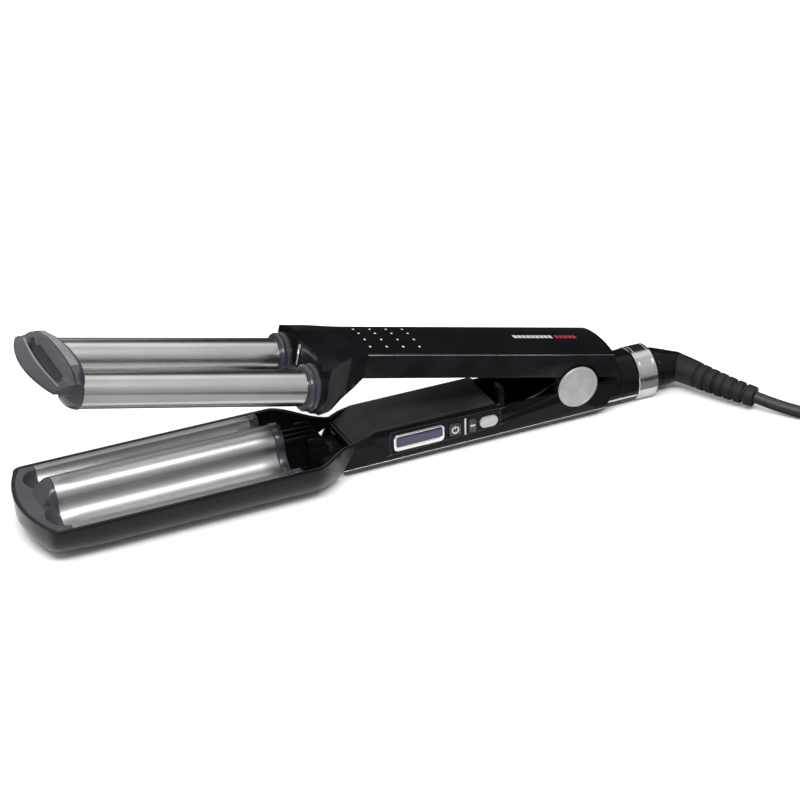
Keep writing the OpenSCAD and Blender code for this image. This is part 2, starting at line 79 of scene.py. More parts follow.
def tidyMesh(obj, merge=0.004):
    # welds doubles and turns every face outwards
    inEdit(obj)
    bpy.ops.mesh.remove_doubles(threshold=merge * mm)
    bpy.ops.mesh.select_all(action="SELECT")
    bpy.ops.mesh.normals_make_consistent(inside=False)
    return outOfEdit(obj)


def applyModifier(obj, kind, **settings):
    pick(obj)
    modifier = obj.modifiers.new(kind.lower(), kind)
    for key, value in settings.items():
        setattr(modifier, key, value)
    bpy.ops.object.modifier_apply(modifier=modifier.name)
    return obj


def roundEdges(obj, width, segments=2, angle=32):
    return applyModifier(obj, "BEVEL", width=width * mm, segments=segments, limit_method="ANGLE",
                         angle_limit=math.radians(angle), use_clamp_overlap=True)


def smooth(obj, angle=35):
    pick(obj)
    bpy.ops.object.shade_smooth_by_angle(angle=math.radians(angle))
    return obj


def carve(obj, cutter, how="DIFFERENCE"):
    applyModifier(obj, "BOOLEAN", operation=how, object=cutter, solver="EXACT")
    bpy.data.objects.remove(cutter, do_unlink=True)
    return obj


def joinAll(name, parts):
    clearBench()
    for part in parts:
        part.select_set(True)
    bpy.context.view_layer.objects.active = parts[0]
    if len(parts) > 1:
        bpy.ops.object.join()
    parts[0].name = name
    return parts[0]


def copyOf(obj, name):
    twin = obj.copy()
    twin.data = obj.data.copy()
    twin.name = name
    bpy.context.collection.objects.link(twin)
    return twin


def addBlock(name, low, high):
    clearBench()
    bpy.ops.mesh.primitive_cube_add(size=1, location=(spot(*low) + spot(*high)) / 2)
    obj = bpy.context.object
    obj.name = name
    obj.scale = spot(*high) - spot(*low)
    return applyPlace(obj)


def drawLine(name, points, closed=False):
    # one vertex, pulled out point by point
    clearBench()
    bpy.ops.mesh.primitive_plane_add(size=0.01)
    obj = bpy.context.object
    obj.name = name
    inEdit(obj)
    bpy.ops.mesh.merge(type="CENTER")
    bpy.ops.transform.translate(value=points[0])
    for before, after in zip(points, points[1:]):
        bpy.ops.mesh.extrude_vertices_move(TRANSFORM_OT_translate={"value": after - before})
    if closed:
        mesh = bmesh.from_edit_mesh(obj.data)
        mesh.verts.ensure_lookup_table()
        bpy.ops.mesh.select_all(action="DESELECT")
        mesh.verts[0].select = mesh.verts[len(points) - 1].select = True
        bmesh.update_edit_mesh(obj.data)
        bpy.ops.mesh.edge_face_add()
        bpy.ops.mesh.select_all(action="SELECT")
        bpy.ops.mesh.edge_face_add()
    return outOfEdit(obj)


def prism(name, outline, pull):
    # a closed outline, pulled out into a solid
    obj = drawLine(name, outline, closed=True)
    inEdit(obj)
    bpy.ops.mesh.extrude_region_move(TRANSFORM_OT_translate={"value": pull})
    outOfEdit(obj)
    return tidyMesh(obj)


def turned(name, profile, origin, axis="X", steps=64):
    # profile is (along, radius), turned round a line through origin
    along = {"X": Vector((1, 0, 0)), "Y": Vector((0, 1, 0)), "Z": Vector((0, 0, 1))}[axis]
    across = {"X": Vector((0, 0, 1)), "Y": Vector((0, 0, 1)), "Z": Vector((1, 0, 0))}[axis]
    base = spot(*origin)
    obj = drawLine(name, [base + along * a * mm + across * r * mm for a, r in profile])
    inEdit(obj)
    bpy.ops.mesh.spin(steps=steps, angle=2 * math.pi, center=base, axis=along)
    outOfEdit(obj)
    return tidyMesh(obj)


def loft(name, rows, closed=False, capped=False, flip=False):
    # rows of points, laid over a grid of the same count
    across, down = len(rows[0]), len(rows)
    clearBench()
    bpy.ops.mesh.primitive_grid_add(x_subdivisions=across - 1, y_subdivisions=down - 1, size=0.01)
    obj = bpy.context.object
    obj.name = name
    for vertex, point in zip(obj.data.vertices, [point for row in rows for point in row]):
        vertex.co = point
    inEdit(obj)
    if closed:
        bpy.ops.mesh.remove_doubles(threshold=0.002 * mm)
    if capped:
        bpy.ops.mesh.select_all(action="DESELECT")
        bpy.ops.mesh.select_non_manifold()
        bpy.ops.mesh.fill_holes(sides=0)
        bpy.ops.mesh.select_all(action="SELECT")
        bpy.ops.mesh.normals_make_consistent(inside=False)
    elif flip:
        bpy.ops.mesh.flip_normals()
    return outOfEdit(obj)


def mouldedFrom(name, node, edge, angle=32, segments=2):
    # the machined shape of a node, with its edges broken as a mould leaves them
    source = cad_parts[node]
    obj = bpy.data.objects.new(name, source.data.copy())
    bpy.context.collection.objects.link(obj)
    obj.data.materials.clear()
    inEdit(obj)
    bpy.ops.mesh.remove_doubles(threshold=0.002 * mm)
    bpy.ops.mesh.select_all(action="SELECT")
    bpy.ops.mesh.dissolve_limited(angle_limit=math.radians(0.6))
    outOfEdit(obj)
    if edge:
        roundEdges(obj, edge, segments, angle)
    return smooth(obj, 35)


def toArm(obj):
    # from the closed position to where the upper arm stands open
    obj.data.transform(Matrix.Translation((0, 0, hinge["height"] * mm))
                       @ Matrix.Rotation(math.radians(hinge["openAngle"]), 4, "Y"))
    return obj


def toBase(obj):
    obj.data.transform(Matrix.Translation((0, 0, hinge["height"] * mm)))
    return obj


def arc(centre, radius, start, end, count):
    return [(centre[0] + radius * math.cos(math.radians(start + (end - start) * i / count)),
             centre[1] + radius * math.sin(math.radians(start + (end - start) * i / count)))
            for i in range(count + 1)]


def blendStep(t):
    t = max(0.0, min(1.0, t))
    return t * t * (3 - 2 * t)


def between(table, x):
    # reads a smooth value off a list of (x, value)
    for (x0, a), (x1, b) in zip(table, table[1:]):
        if x <= x1:
            return a + (b - a) * max(0.0, (x - x0) / (x1 - x0))
    return table[-1][1]


# camera first, then the lead

camera = {"place": (-0.5153, -0.9583, 0.6022), "right": (0.90981, -0.41446, -0.02169),
          "up": (0.21662, 0.42964, 0.87664), "back": (-0.35401, -0.80227, 0.48067), "lens": 106.37}

lens = bpy.data.cameras.new("camera")
lens.lens, lens.sensor_width, lens.clip_start, lens.clip_end = camera["lens"], 36, 0.05, 50
eye = bpy.data.objects.new("camera", lens)
axes = Matrix((camera["right"], camera["up"], camera["back"])).transposed()
eye.matrix_world = Matrix.Translation(camera["place"]) @ axes.to_4x4()
bpy.context.collection.objects.link(eye)
bpy.context.scene.camera = eye
print("camera set")

lead = {
    "diameter": 6.4,
    "route": [(90, -45.5, 7), (97, -54.5, 5.2), (104, -63, 4), (112, -70.5, 3.4), (123, -76, 3.2),
              (136, -78, 3.2), (150, -77.5, 3.2), (164, -74, 3.2), (177, -70.5, 3.2), (190, -68.5, 3.2)],
    "coilCentre": (193, -24), "coilRadius": 38,
    "turns": [(0, 44.4, 31.6, 3), (1, 31.6, 44.4, 3), (2, 44.4, 38, 2), (3, 38, 44.4, 2)],
    "tail": [(178, -65.7, 22.4), (187, -68, 22.8), (197, -68.3, 24.8), (207, -66.5, 28), (215.6, -61.4, 31),
             (222, -54, 32.5)],
    "stepsPerTurn": 48,
}


def coilPoints(settings):
    cx, cy = settings["coilCentre"]
    pitch, points = settings["diameter"], []
    steps = settings["stepsPerTurn"]
    angle, radius, height = -93.9, 44.4, pitch / 2
    for layer, start, end, turns in settings["turns"]:
        rounds = turns - (0.044 if layer == 3 else 0)
        count = round(rounds * steps)
        columns = max(1, abs(round((end - start) / pitch)))
        for i in range(count):
            share = i / count * turns
            inTurn, whole = share % 1, int(share)
            # each turn keeps its column, then steps over and up during its last part
            shift = blendStep((inTurn - 0.72) / 0.28)
            column = min(whole + shift, columns) * (1 if end > start else -1)
            rise = blendStep((share - (turns - 0.3)) / 0.3) if layer < 3 else 0
            r = start + column * pitch
            z = pitch * (layer + 0.5 + rise)
            a = math.radians(angle + 360 / steps * i)
            points.append(spot(cx + r * math.cos(a), cy + r * math.sin(a), z))
        angle += 360 / steps * count
    return points


def smoothRoute(points, per=5):
    # a rounded line through hand-set points
    ends = [points[0] * 2 - points[1]] + points + [points[-1] * 2 - points[-2]]
    result = []
    for a, b, c, d in zip(ends, ends[1:], ends[2:], ends[3:]):
        for i in range(per):
            t = i / per
            result.append(0.5 * (2 * b + (c - a) * t + (2 * a - 5 * b + 4 * c - d) * t * t
                                 + (3 * b - a - 3 * c + d) * t ** 3))
    return result + [points[-1]]


cordPoints = (smoothRoute([spot(*p) for p in lead["route"]])[:-1] + coilPoints(lead)
              + smoothRoute([spot(*p) for p in lead["tail"]]))
cordCurve = bpy.data.curves.new("mainsLead", "CURVE")
cordCurve.dimensions = "3D"
cordCurve.bevel_depth = lead["diameter"] / 2 * mm
cordCurve.bevel_resolution = 4
cordCurve.use_fill_caps = True
spline = cordCurve.splines.new("POLY")
spline.points.add(len(cordPoints) - 1)
for target, point in zip(spline.points, cordPoints):
    target.co = (*point, 1)
mainsLead = bpy.data.objects.new("mainsLead", cordCurve)
bpy.context.collection.objects.link(mainsLead)


# finishes

def finishOf(name, look):
    material = bpy.data.materials.new(name)
    material.use_nodes = True
    nodes, links = material.node_tree.nodes, material.node_tree.links
    shader = nodes["Principled BSDF"]
    where = nodes.new("ShaderNodeTexCoord")
    stretch = nodes.new("ShaderNodeMapping")
    stretch.inputs["Scale"].default_value = look.get("stretch", (1, 1, 1))
    links.new(where.outputs["Object"], stretch.inputs["Vector"])

    def grain(scale, detail, stretched=True):
        node = nodes.new("ShaderNodeTexNoise")
        node.inputs["Scale"].default_value = scale
        node.inputs["Detail"].default_value = detail
        source = stretch.outputs["Vector"] if stretched else where.outputs["Object"]
        links.new(source, node.inputs["Vector"])
        return node

    patches = grain(look.get("patch", 60), 3, False)
    ramp = nodes.new("ShaderNodeValToRGB")
    ramp.color_ramp.elements[0].position, ramp.color_ramp.elements[1].position = 0.35, 0.68
    ramp.color_ramp.elements[0].color = (*look["tone"], 1)
    ramp.color_ramp.elements[1].color = (*look.get("tint", look["tone"]), 1)
    links.new(patches.outputs["Fac"], ramp.inputs["Fac"])
    links.new(ramp.outputs["Color"], shader.inputs["Base Color"])

    fine = grain(look.get("grain", 900), 4)
    spread = nodes.new("ShaderNodeMapRange")
    spread.inputs["From Min"].default_value, spread.inputs["From Max"].default_value = 0.3, 0.7
    spread.inputs["To Min"].default_value, spread.inputs["To Max"].default_value = look["rough"]
    links.new(fine.outputs["Fac"], spread.inputs["Value"])
    links.new(spread.outputs["Result"], shader.inputs["Roughness"])

    bump = nodes.new("ShaderNodeBump")
    bump.inputs["Strength"].default_value = look.get("bump", 0.2)
    bump.inputs["Distance"].default_value = look.get("depth", 0.02) * mm
    links.new(fine.outputs["Fac"], bump.inputs["Height"])
    links.new(bump.outputs["Normal"], shader.inputs["Normal"])

    shader.inputs["Metallic"].default_value = look.get("metal", 0)
    shader.inputs["Specular IOR Level"].default_value = look.get("gloss", 0.5)
    shader.inputs["Specular Tint"].default_value = (*look.get("edge", (1, 1, 1)), 1)
    shader.inputs["Coat Weight"].default_value = look.get("coat", 0)
    shader.inputs["Coat Roughness"].default_value = look.get("coatRough", 0.1)
    return material


looks = {
    "glossBlack": {"tone": (0.0035, 0.0035, 0.004), "tint": (0.005, 0.005, 0.006), "rough": (0.07, 0.12),
                   "gloss": 0.09, "grain": 500, "bump": 0.06, "depth": 0.01},
    "shellBlack": {"tone": (0.005, 0.005, 0.006), "tint": (0.008, 0.008, 0.01), "rough": (0.14, 0.2),
                   "gloss": 0.1, "grain": 900, "bump": 0.12, "depth": 0.012},
    "satinBlack": {"tone": (0.016, 0.016, 0.017), "tint": (0.024, 0.024, 0.025), "rough": (0.36, 0.46),
                   "gloss": 0.12, "grain": 2600, "bump": 0.35, "depth": 0.02},
    "bracketBlack": {"tone": (0.0035, 0.0035, 0.0045), "tint": (0.006, 0.006, 0.0075), "rough": (0.16, 0.22),
                     "gloss": 0.06, "grain": 1500, "bump": 0.2, "depth": 0.015},
    "violetGrey": {"tone": (0.02, 0.019, 0.026), "tint": (0.03, 0.0285, 0.038), "rough": (0.2, 0.28),
                   "gloss": 0.5, "grain": 1800, "bump": 0.2, "depth": 0.015},
    # painted shade for the leaf's hollow and crease
    "leafPaintedShade": {"tone": (0.005, 0.005, 0.007), "tint": (0.008, 0.0075, 0.011), "rough": (0.26, 0.34),
                 "gloss": 0.2, "grain": 1800, "bump": 0.2, "depth": 0.015},
    # painted highlight for the leaf's rim and crown
    "leafPaintedHighlight": {"tone": (0.1, 0.095, 0.115), "tint": (0.14, 0.133, 0.155), "rough": (0.22, 0.3),
                 "gloss": 0.5, "grain": 1800, "bump": 0.2, "depth": 0.015},
    "titanium": {"tone": (0.44, 0.435, 0.43), "tint": (0.5, 0.495, 0.49), "rough": (0.2, 0.27), "metal": 1,
                 "stretch": (1, 26, 26), "grain": 120, "patch": 25, "bump": 0.08, "depth": 0.01,
                 "edge": (0.35, 0.35, 0.36)},
    "plateGrey": {"tone": (0.36, 0.355, 0.36), "tint": (0.42, 0.415, 0.42), "rough": (0.33, 0.41), "metal": 1,
                  "stretch": (1, 26, 26), "grain": 120, "patch": 25, "bump": 0.08, "depth": 0.01,
                  "edge": (0.35, 0.35, 0.36)},
    "jawBlack": {"tone": (0.0035, 0.0035, 0.004), "tint": (0.005, 0.005, 0.006), "rough": (0.1, 0.15),
                 "gloss": 0.15, "grain": 500, "bump": 0.06, "depth": 0.01},
    # silver finish of the trims, also used on the bracket rib as a painted highlight
    "silverTrimAndHighlight": {"tone": (0.62, 0.61, 0.6), "tint": (0.7, 0.69, 0.68), "rough": (0.16, 0.24), "metal": 1,
                   "stretch": (1, 20, 20), "grain": 200, "bump": 0.05},
    "goldTrim": {"tone": (0.62, 0.61, 0.6), "tint": (0.7, 0.69, 0.68), "rough": (0.18, 0.26), "metal": 1,
                 "stretch": (1, 20, 20), "grain": 200, "bump": 0.05},
    "chrome": {"tone": (0.44, 0.44, 0.45), "tint": (0.5, 0.5, 0.51), "rough": (0.15, 0.21), "metal": 1,
               "stretch": (8, 1, 1), "grain": 700, "bump": 0.05, "depth": 0.006},
    "satinDisc": {"tone": (0.27, 0.272, 0.28), "tint": (0.32, 0.322, 0.33), "rough": (0.36, 0.46), "metal": 0.25,
                  "grain": 1700, "patch": 160, "bump": 0.3, "depth": 0.02},
    "steel": {"tone": (0.5, 0.5, 0.51), "tint": (0.58, 0.58, 0.59), "rough": (0.25, 0.36), "metal": 1,
              "grain": 900, "bump": 0.12},
    "springWire": {"tone": (0.33, 0.33, 0.35), "tint": (0.42, 0.42, 0.44), "rough": (0.25, 0.4), "metal": 1,
                   "grain": 1600, "bump": 0.2},
    "aluminium": {"tone": (0.6, 0.6, 0.61), "tint": (0.68, 0.68, 0.69), "rough": (0.3, 0.42), "metal": 1,
                  "stretch": (1, 14, 14), "grain": 300, "bump": 0.15},
    "ceramic": {"tone": (0.7, 0.68, 0.63), "tint": (0.78, 0.76, 0.71), "rough": (0.55, 0.7), "grain": 2200,
                "bump": 0.3},
    "mica": {"tone": (0.36, 0.33, 0.27), "tint": (0.46, 0.43, 0.36), "rough": (0.3, 0.5), "grain": 260,
             "patch": 220, "bump": 0.3},
    "displayGlass": {"tone": (0.016, 0.018, 0.045), "tint": (0.026, 0.03, 0.064), "rough": (0.08, 0.14),
                     "patch": 40, "grain": 300, "bump": 0.02, "coat": 0.1, "coatRough": 0.05},
    "moduleGrey": {"tone": (0.14, 0.15, 0.18), "tint": (0.2, 0.21, 0.24), "rough": (0.4, 0.5), "grain": 1500},
    "boardGreen": {"tone": (0.01, 0.09, 0.03), "tint": (0.02, 0.14, 0.05), "rough": (0.3, 0.42),
                   "grain": 1200, "patch": 300, "bump": 0.2},
    "keyBlack": {"tone": (0.02, 0.02, 0.023), "tint": (0.03, 0.03, 0.034), "rough": (0.2, 0.3), "gloss": 0.4,
                 "grain": 1500, "bump": 0.15},
    "keySilver": {"tone": (0.34, 0.34, 0.35), "tint": (0.4, 0.4, 0.41), "rough": (0.28, 0.36), "metal": 0.3,
                  "grain": 2500, "bump": 0.15},
    "paleMark": {"tone": (0.36, 0.36, 0.37), "tint": (0.46, 0.46, 0.47), "rough": (0.35, 0.45), "grain": 3000,
                 "bump": 0.1},
    "redMark": {"tone": (0.26, 0.008, 0.03), "tint": (0.34, 0.012, 0.04), "rough": (0.3, 0.4), "grain": 3000,
                "bump": 0.1},
    "bronze": {"tone": (0.42, 0.28, 0.13), "tint": (0.5, 0.35, 0.18), "rough": (0.35, 0.5), "metal": 1,
               "grain": 2600, "bump": 0.4},
    "leadSheath": {"tone": (0.013, 0.013, 0.015), "tint": (0.02, 0.02, 0.022), "rough": (0.38, 0.5),
                   "gloss": 0.4, "grain": 1300, "bump": 0.25, "depth": 0.03},
    "softRubber": {"tone": (0.008, 0.008, 0.009), "tint": (0.013, 0.013, 0.014), "rough": (0.5, 0.65),
                   "gloss": 0.2, "grain": 2200, "bump": 0.4, "depth": 0.03},
    "nickel": {"tone": (0.62, 0.6, 0.54), "tint": (0.7, 0.68, 0.62), "rough": (0.14, 0.24), "metal": 1,
               "grain": 800, "bump": 0.08},
}
finishes = {name: finishOf(name, look) for name, look in looks.items()}
print("finishes mixed:", len(finishes))


def deliver(obj, body, finish, nodes=(), sharp=35):
    # smooth, paint and hand a finished piece to its body
    if obj.type == "MESH" and sharp:
        smooth(obj, sharp)
    obj.data.materials.clear()
    obj.data.materials.append(finishes[finish])
    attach(obj, body)
    if nodes:
        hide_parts(*nodes)
    return obj


# lead ends: tie, plug, pins

tie = {"width": 11, "thick": 0.9, "lift": 0.15}
plug = {"at": (222, -54, 32.5), "turn": 60, "length": 52, "halfHeight": 6.85, "pinSpread": 9.3, "pinRadius": 2,
        "pinEnd": 71}


def plugFrame(obj):
    obj.data.transform(Matrix.Translation(spot(*plug["at"])) @ Matrix.Rotation(math.radians(plug["turn"]), 4, "Z"))
    return obj


def roundedBox(width, height, corner, steps=5):
    # a rounded rectangle round the middle, as (across, up)
    w, h = width / 2 - corner, height / 2 - corner
    return (arc((w, h), corner, 0, 90, steps) + arc((-w, h), corner, 90, 180, steps)
            + arc((-w, -h), corner, 180, 270, steps) + arc((w, -h), corner, 270, 360, steps))


def makeTie():
    half = 1.5 * lead["diameter"]
    tall = 4 * lead["diameter"]
    inner = roundedBox(2 * half + 0.2, tall + 0.1, 3)
    outer = roundedBox(2 * half + 0.2 + 2 * tie["thick"], tall + 0.1 + 2 * tie["thick"], 3.6)
    x = lead["coilCentre"][0] - lead["coilRadius"]
    y = lead["coilCentre"][1]
    loops = []
    for outline, wide in ((outer, tie["width"]), (inner, tie["width"] + 2)):
        points = [spot(x + a, y - wide / 2, tall / 2 + b + 0.05) for a, b in outline]
        loops.append(prism("cordTie", points, spot(0, wide, 0)))
    strap = carve(loops[0], loops[1])
    for vertex in strap.data.vertices:
        vertex.co.z = max(vertex.co.z, 0)
    roundEdges(strap, 0.25)
    tab = addBlock("tieTab", (x - 4, y - tie["width"] / 2 + 1, tall + 0.5), (x + 9, y + tie["width"] / 2 - 1, tall + 1))
    roundEdges(tab, 0.2)
    return joinAll("cordTie", [strap, tab])


cordTie = deliver(makeTie(), "lead_swivel", "softRubber", ["cord_tie"])


def makePlug():
    rows = []
    for x, width, height, corner in ((0, 8.2, 8.2, 4.05), (0.4, 8.6, 8.6, 4.2), (6, 9.4, 9.2, 4.5),
                                     (12, 10.2, 9.8, 4.8), (18, 11.6, 10.8, 5.2), (21, 15.5, 12, 5.8),
                                     (24, 20.5, 12.9, 6.2), (28, 25.5, 13.4, 6.4), (33, 30.5, 13.6, 6.5),
                                     (38, 34, 13.7, 6.5), (44, 35, 13.7, 6.5), (50.6, 35, 13.7, 6.5),
                                     (51.6, 34, 12.9, 6.1), (52, 32, 11.4, 5.4)):
        rows.append([spot(x, a, b) for a, b in roundedBox(width, height, corner, 6)])
        rows[-1].append(rows[-1][0].copy())
    body = loft("plugBody", rows, closed=True, capped=True)
    ridges = []
    for i in range(4):
        for side in (-1, 1):
            x = 31 + 3.6 * i
            ridge = addBlock("gripRidge", (x, -7, side * 6.6 - 0.45), (x + 1.4, 7, side * 6.6 + 0.2))
            ridges.append(roundEdges(ridge, 0.2))
    for ridge in ridges:
        for vertex in ridge.data.vertices:
            vertex.co.z = max(-6.84 * mm, min(6.84 * mm, vertex.co.z))
    return plugFrame(joinAll("plugBody", [body] + ridges))


def makePins():
    pin = turned("plugPin", [(51, 0), (51, 1.98), (69, 1.98), (70, 1.7), (70.7, 1.1), (71, 0)],
                 (0, -plug["pinSpread"], 0), steps=28)
    other = copyOf(pin, "otherPin")
    other.data.transform(Matrix.Translation(spot(0, 2 * plug["pinSpread"], 0)))
    return plugFrame(joinAll("plugPins", [pin, other]))


plugBody = deliver(makePlug(), "lead_swivel", "leadSheath", ["plug_body"])
plugPins = deliver(makePins(), "lead_swivel", "nickel", ["plug_pins"])


# strain relief: a ribbed, tapering sleeve

relief = {
    "route": [(66.5, -5, 11.3), (70.5, -12, 10.6), (74.5, -20, 9.8), (79, -28.5, 9), (84, -37, 8.1), (90, -45.5, 7)],
    "startRadius": 7.6, "endRadius": 5.4, "plainLength": 13, "ribPitch": 5.4, "slotWidth": 2.0, "slotDepth": 1.1,
    "bore": 3.3,
}


def ringsAlong(points, radii, sides=40):
    rows = []
    last = len(points) - 1
    for i, (point, radius) in enumerate(zip(points, radii)):
        ahead = (points[min(i + 1, last)] - points[max(i - 1, 0)]).normalized()
        side = ahead.cross(Vector((0, 0, 1))).normalized()
        top = side.cross(ahead)
        row = [point + (side * math.cos(2 * math.pi * k / sides) + top * math.sin(2 * math.pi * k / sides)) * radius * mm
               for k in range(sides)]
        rows.append(row + [row[0].copy()])
    return rows


def makeRelief():
    fine = smoothRoute([spot(*p) for p in relief["route"]], 24)
    walked, radii = 0.0, []
    total = sum((b - a).length for a, b in zip(fine, fine[1:])) / mm
    for i, point in enumerate(fine):
        if i:
            walked += (point - fine[i - 1]).length / mm
        radius = relief["startRadius"] + (relief["endRadius"] - relief["startRadius"]) * walked / total
        beyond = walked - relief["plainLength"]
        if beyond > 0 and walked < total - 2.5:
            phase = beyond % relief["ribPitch"]
            half = relief["slotWidth"] / 2
            depth = blendStep((half - abs(phase - half)) / 0.5)
            radius -= relief["slotDepth"] * depth
        radii.append(radius if walked < total - 0.01 else relief["bore"] + 0.2)
    sleeve = loft("strainRelief", ringsAlong(fine, radii), closed=True, capped=True)
    return sleeve


strainRelief = deliver(makeRelief(), "lead_swivel", "softRubber", ["strain_relief"], sharp=50)
deliver(mainsLead, "lead_swivel", "leadSheath", ["cord_tube", "cord_coil", "cord_tail"])
print("lead dressed")


# swivel: housing, bright ring, turning head

swivel = {"axis": -10.3, "floor": -21.5, "housingRadius": 14.1, "ringRadius": 14.5, "trimLow": -17.2, "trimHigh": -15.6}


def cutFloor(obj):
    # flat underneath, where the swivel rests
    inEdit(obj)
    bpy.ops.mesh.bisect(plane_co=spot(0, 0, swivel["floor"]), plane_no=(0, 0, 1), use_fill=True, clear_inner=True)
    return outOfEdit(obj)


def makeSwivel():
    z, r, big = swivel["axis"], swivel["housingRadius"], swivel["ringRadius"]
    housing = turned("swivelHousing", [(11, 4.6), (11, 6.3), (18.8, 6.3), (18.8, r - 0.3), (19.1, r), (27.6, r),
                                       (27.9, r - 0.35), (28.4, r - 0.35), (28.7, r), (38.1, r), (38.45, r - 0.3),
                                       (38.45, 7.05), (35.6, 7.05), (35.6, 4.6), (11, 4.6)], (0, 0, z), steps=120)
    ring = turned("swivelRing", [(38.55, 7.05), (38.55, big - 0.5), (38.9, big), (40.2, big), (40.5, big - 0.22),
                                 (40.8, big), (47.9, big), (48.2, big - 0.22), (48.5, big), (49.6, big),
                                 (50, big - 0.5), (50, 7.05), (38.55, 7.05)], (0, 0, z), steps=120)
    deliver(toBase(cutFloor(housing)), "lower_arm", "glossBlack", ["swivel_housing"], 30)
    deliver(toBase(cutFloor(ring)), "lower_arm", "chrome", ["swivel_ring"], 30)
    head = mouldedFrom("swivelHead", "swivel_head", 0.35, 40)
    deliver(head, "lead_swivel", "glossBlack", ["swivel_head"], 32)


def makeHousingTrim():
    # the base's bright line runs on round the sides of the swivel
    z, r = swivel["axis"], swivel["housingRadius"]
    strips = []
    for side in (-1, 1):
        rows = []
        for x in (18.9, 19.3, 28, 38, 38.4):
            sunk = 0.3 if x in (18.9, 38.4) else 0
            row = []
            for v in (swivel["trimLow"], swivel["trimLow"] + 0.3, swivel["trimHigh"] - 0.3, swivel["trimHigh"]):
                lift = -0.3 if v in (swivel["trimLow"], swivel["trimHigh"]) else 0.14
                y = math.sqrt((r + lift - sunk) ** 2 - (v - z) ** 2)
                row.append(spot(x, side * y, v))
            rows.append(row)
        strips.append(loft("housingTrim", rows, flip=side > 0))
    return toBase(joinAll("housingTrim", strips))


makeSwivel()
deliver(makeHousingTrim(), "lower_arm", "silverTrimAndHighlight", ())
print("swivel turned")


# lower jaw

jaw = {"halfWidth": 34.5, "rim": -0.7, "floor": -21.5, "corner": 20, "wall": 2.0, "tip": -293.5, "bow": 67.8,
       "noseLength": 31.5, "noseLift": 12.5, "neckFront": -152, "neckRear": -125, "neckHalfWidth": 16.94,
       "neckCorner": 8}
plate = {"front": -275.5, "rear": -163.7, "thick": 1.6, "barrelY": 18.6, "barrelV": 1.46, "ridgeV": 0.5,
         "ridgeRadius": 8.5, "lipY": 32.3}
plate["valleyRadius"] = math.hypot(plate["barrelY"], plate["barrelV"] - plate["ridgeV"]) - plate["ridgeRadius"]


def jawStations():
    # (x, half width) from the tip back to the neck
    stations = []
    for half in (0, 3, 6, 9, 12, 15, 18, 21, 24, 26.5, 28):
        stations.append((jaw["tip"] + jaw["bow"] - math.sqrt(jaw["bow"] ** 2 - half ** 2), half))
    for angle in (140, 130, 120, 110, 100, 90):
        x, half = -281 + 6.5 * math.cos(math.radians(angle)), 28 + 6.5 * math.sin(math.radians(angle))
        stations.append((x, half))
    for x in list(range(-276, -152, 6)) + list(range(-152, -117, 2)):
        t = blendStep((x - jaw["neckFront"]) / (jaw["neckRear"] - jaw["neckFront"]))
        stations.append((x, jaw["halfWidth"] + (jaw["neckHalfWidth"] - jaw["halfWidth"]) * t))
    return stations


def jawFloor(x):
    s = max(0.0, min(1.0, (jaw["tip"] + jaw["noseLength"] - x) / jaw["noseLength"]))
    return jaw["floor"] + jaw["noseLift"] * (1 - math.sqrt(max(0.0, 1 - s * s)))


def jawRim(x):
    return between([(-300, -0.7), (-150, -0.7), (-145, -1), (-141, -1.45), (-134, -2.45), (-126, -3.25), (-118, -3.3)], x)


def makeJaw():
    rows = []
    for x, half in jawStations():
        rim, bottom = jawRim(x), jawFloor(x)
        neck = blendStep((x - jaw["neckFront"]) / (jaw["neckRear"] - jaw["neckFront"]))
        corner = min(jaw["corner"] + (jaw["neckCorner"] - jaw["corner"]) * neck, max(half, 0.01), rim - bottom - 0.4)
        side = [(half, rim), (half, rim + (bottom + corner - rim) * 0.5)]
        bend = arc((half - corner, bottom + corner), corner, 0, -90, 12)
        flat = [((half - corner) * t, bottom) for t in (0.75, 0.5, 0.25)]
        right = side + bend + flat
        row = [(-y, z) for y, z in right] + [(0, bottom)] + right[::-1]
        rows.append([spot(x, y, z) for y, z in row])
    shell = loft("jawShell", rows)
    inEdit(shell)
    bpy.ops.mesh.remove_doubles(threshold=0.01 * mm)
    bpy.ops.mesh.select_all(action="SELECT")
    # the rear is trimmed parallel to the sloping front of the handle, just inside it
    bpy.ops.mesh.bisect(plane_co=spot(-121.7, 0, -3), plane_no=(2, 0, -1), clear_outer=True)
    outOfEdit(shell)
    applyModifier(shell, "SOLIDIFY", thickness=jaw["wall"] * mm, offset=-1, use_even_offset=False)
    roundEdges(shell, 0.45, 3, 50)
    return toBase(shell)


def waveLine(lift=0.0):
    tangent = math.degrees(math.atan2(plate["barrelV"] - plate["ridgeV"], plate["barrelY"]))
    lip = math.degrees(math.asin((plate["barrelV"] + 0.7) / plate["valleyRadius"]))
    near = (-plate["barrelY"], plate["barrelV"])
    far = (plate["barrelY"], plate["barrelV"])
    valley, ridge = plate["valleyRadius"] - lift, plate["ridgeRadius"] + lift
    return ([(-plate["lipY"], -0.7 + lift)] + arc(near, valley, 180 + lip, 360 - tangent, 36)
            + arc((0, plate["ridgeV"]), ridge, 180 - tangent, tangent, 36)[1:]
            + arc(far, valley, 180 + tangent, 360 - lip, 36)[1:] + [(plate["lipY"], -0.7 + lift)])


def makeWavePlate():
    line = waveLine()
    xs = [plate["rear"] + 0.2 + (plate["front"] - plate["rear"] - 0.2) * i / 12 for i in range(13)]
    sheet = loft("wavePlate", [[spot(x, y, z) for y, z in line] for x in xs])
    applyModifier(sheet, "SOLIDIFY", thickness=plate["thick"] * mm, offset=-1)
    roundEdges(sheet, 0.3, 2, 50)
    return toBase(sheet)


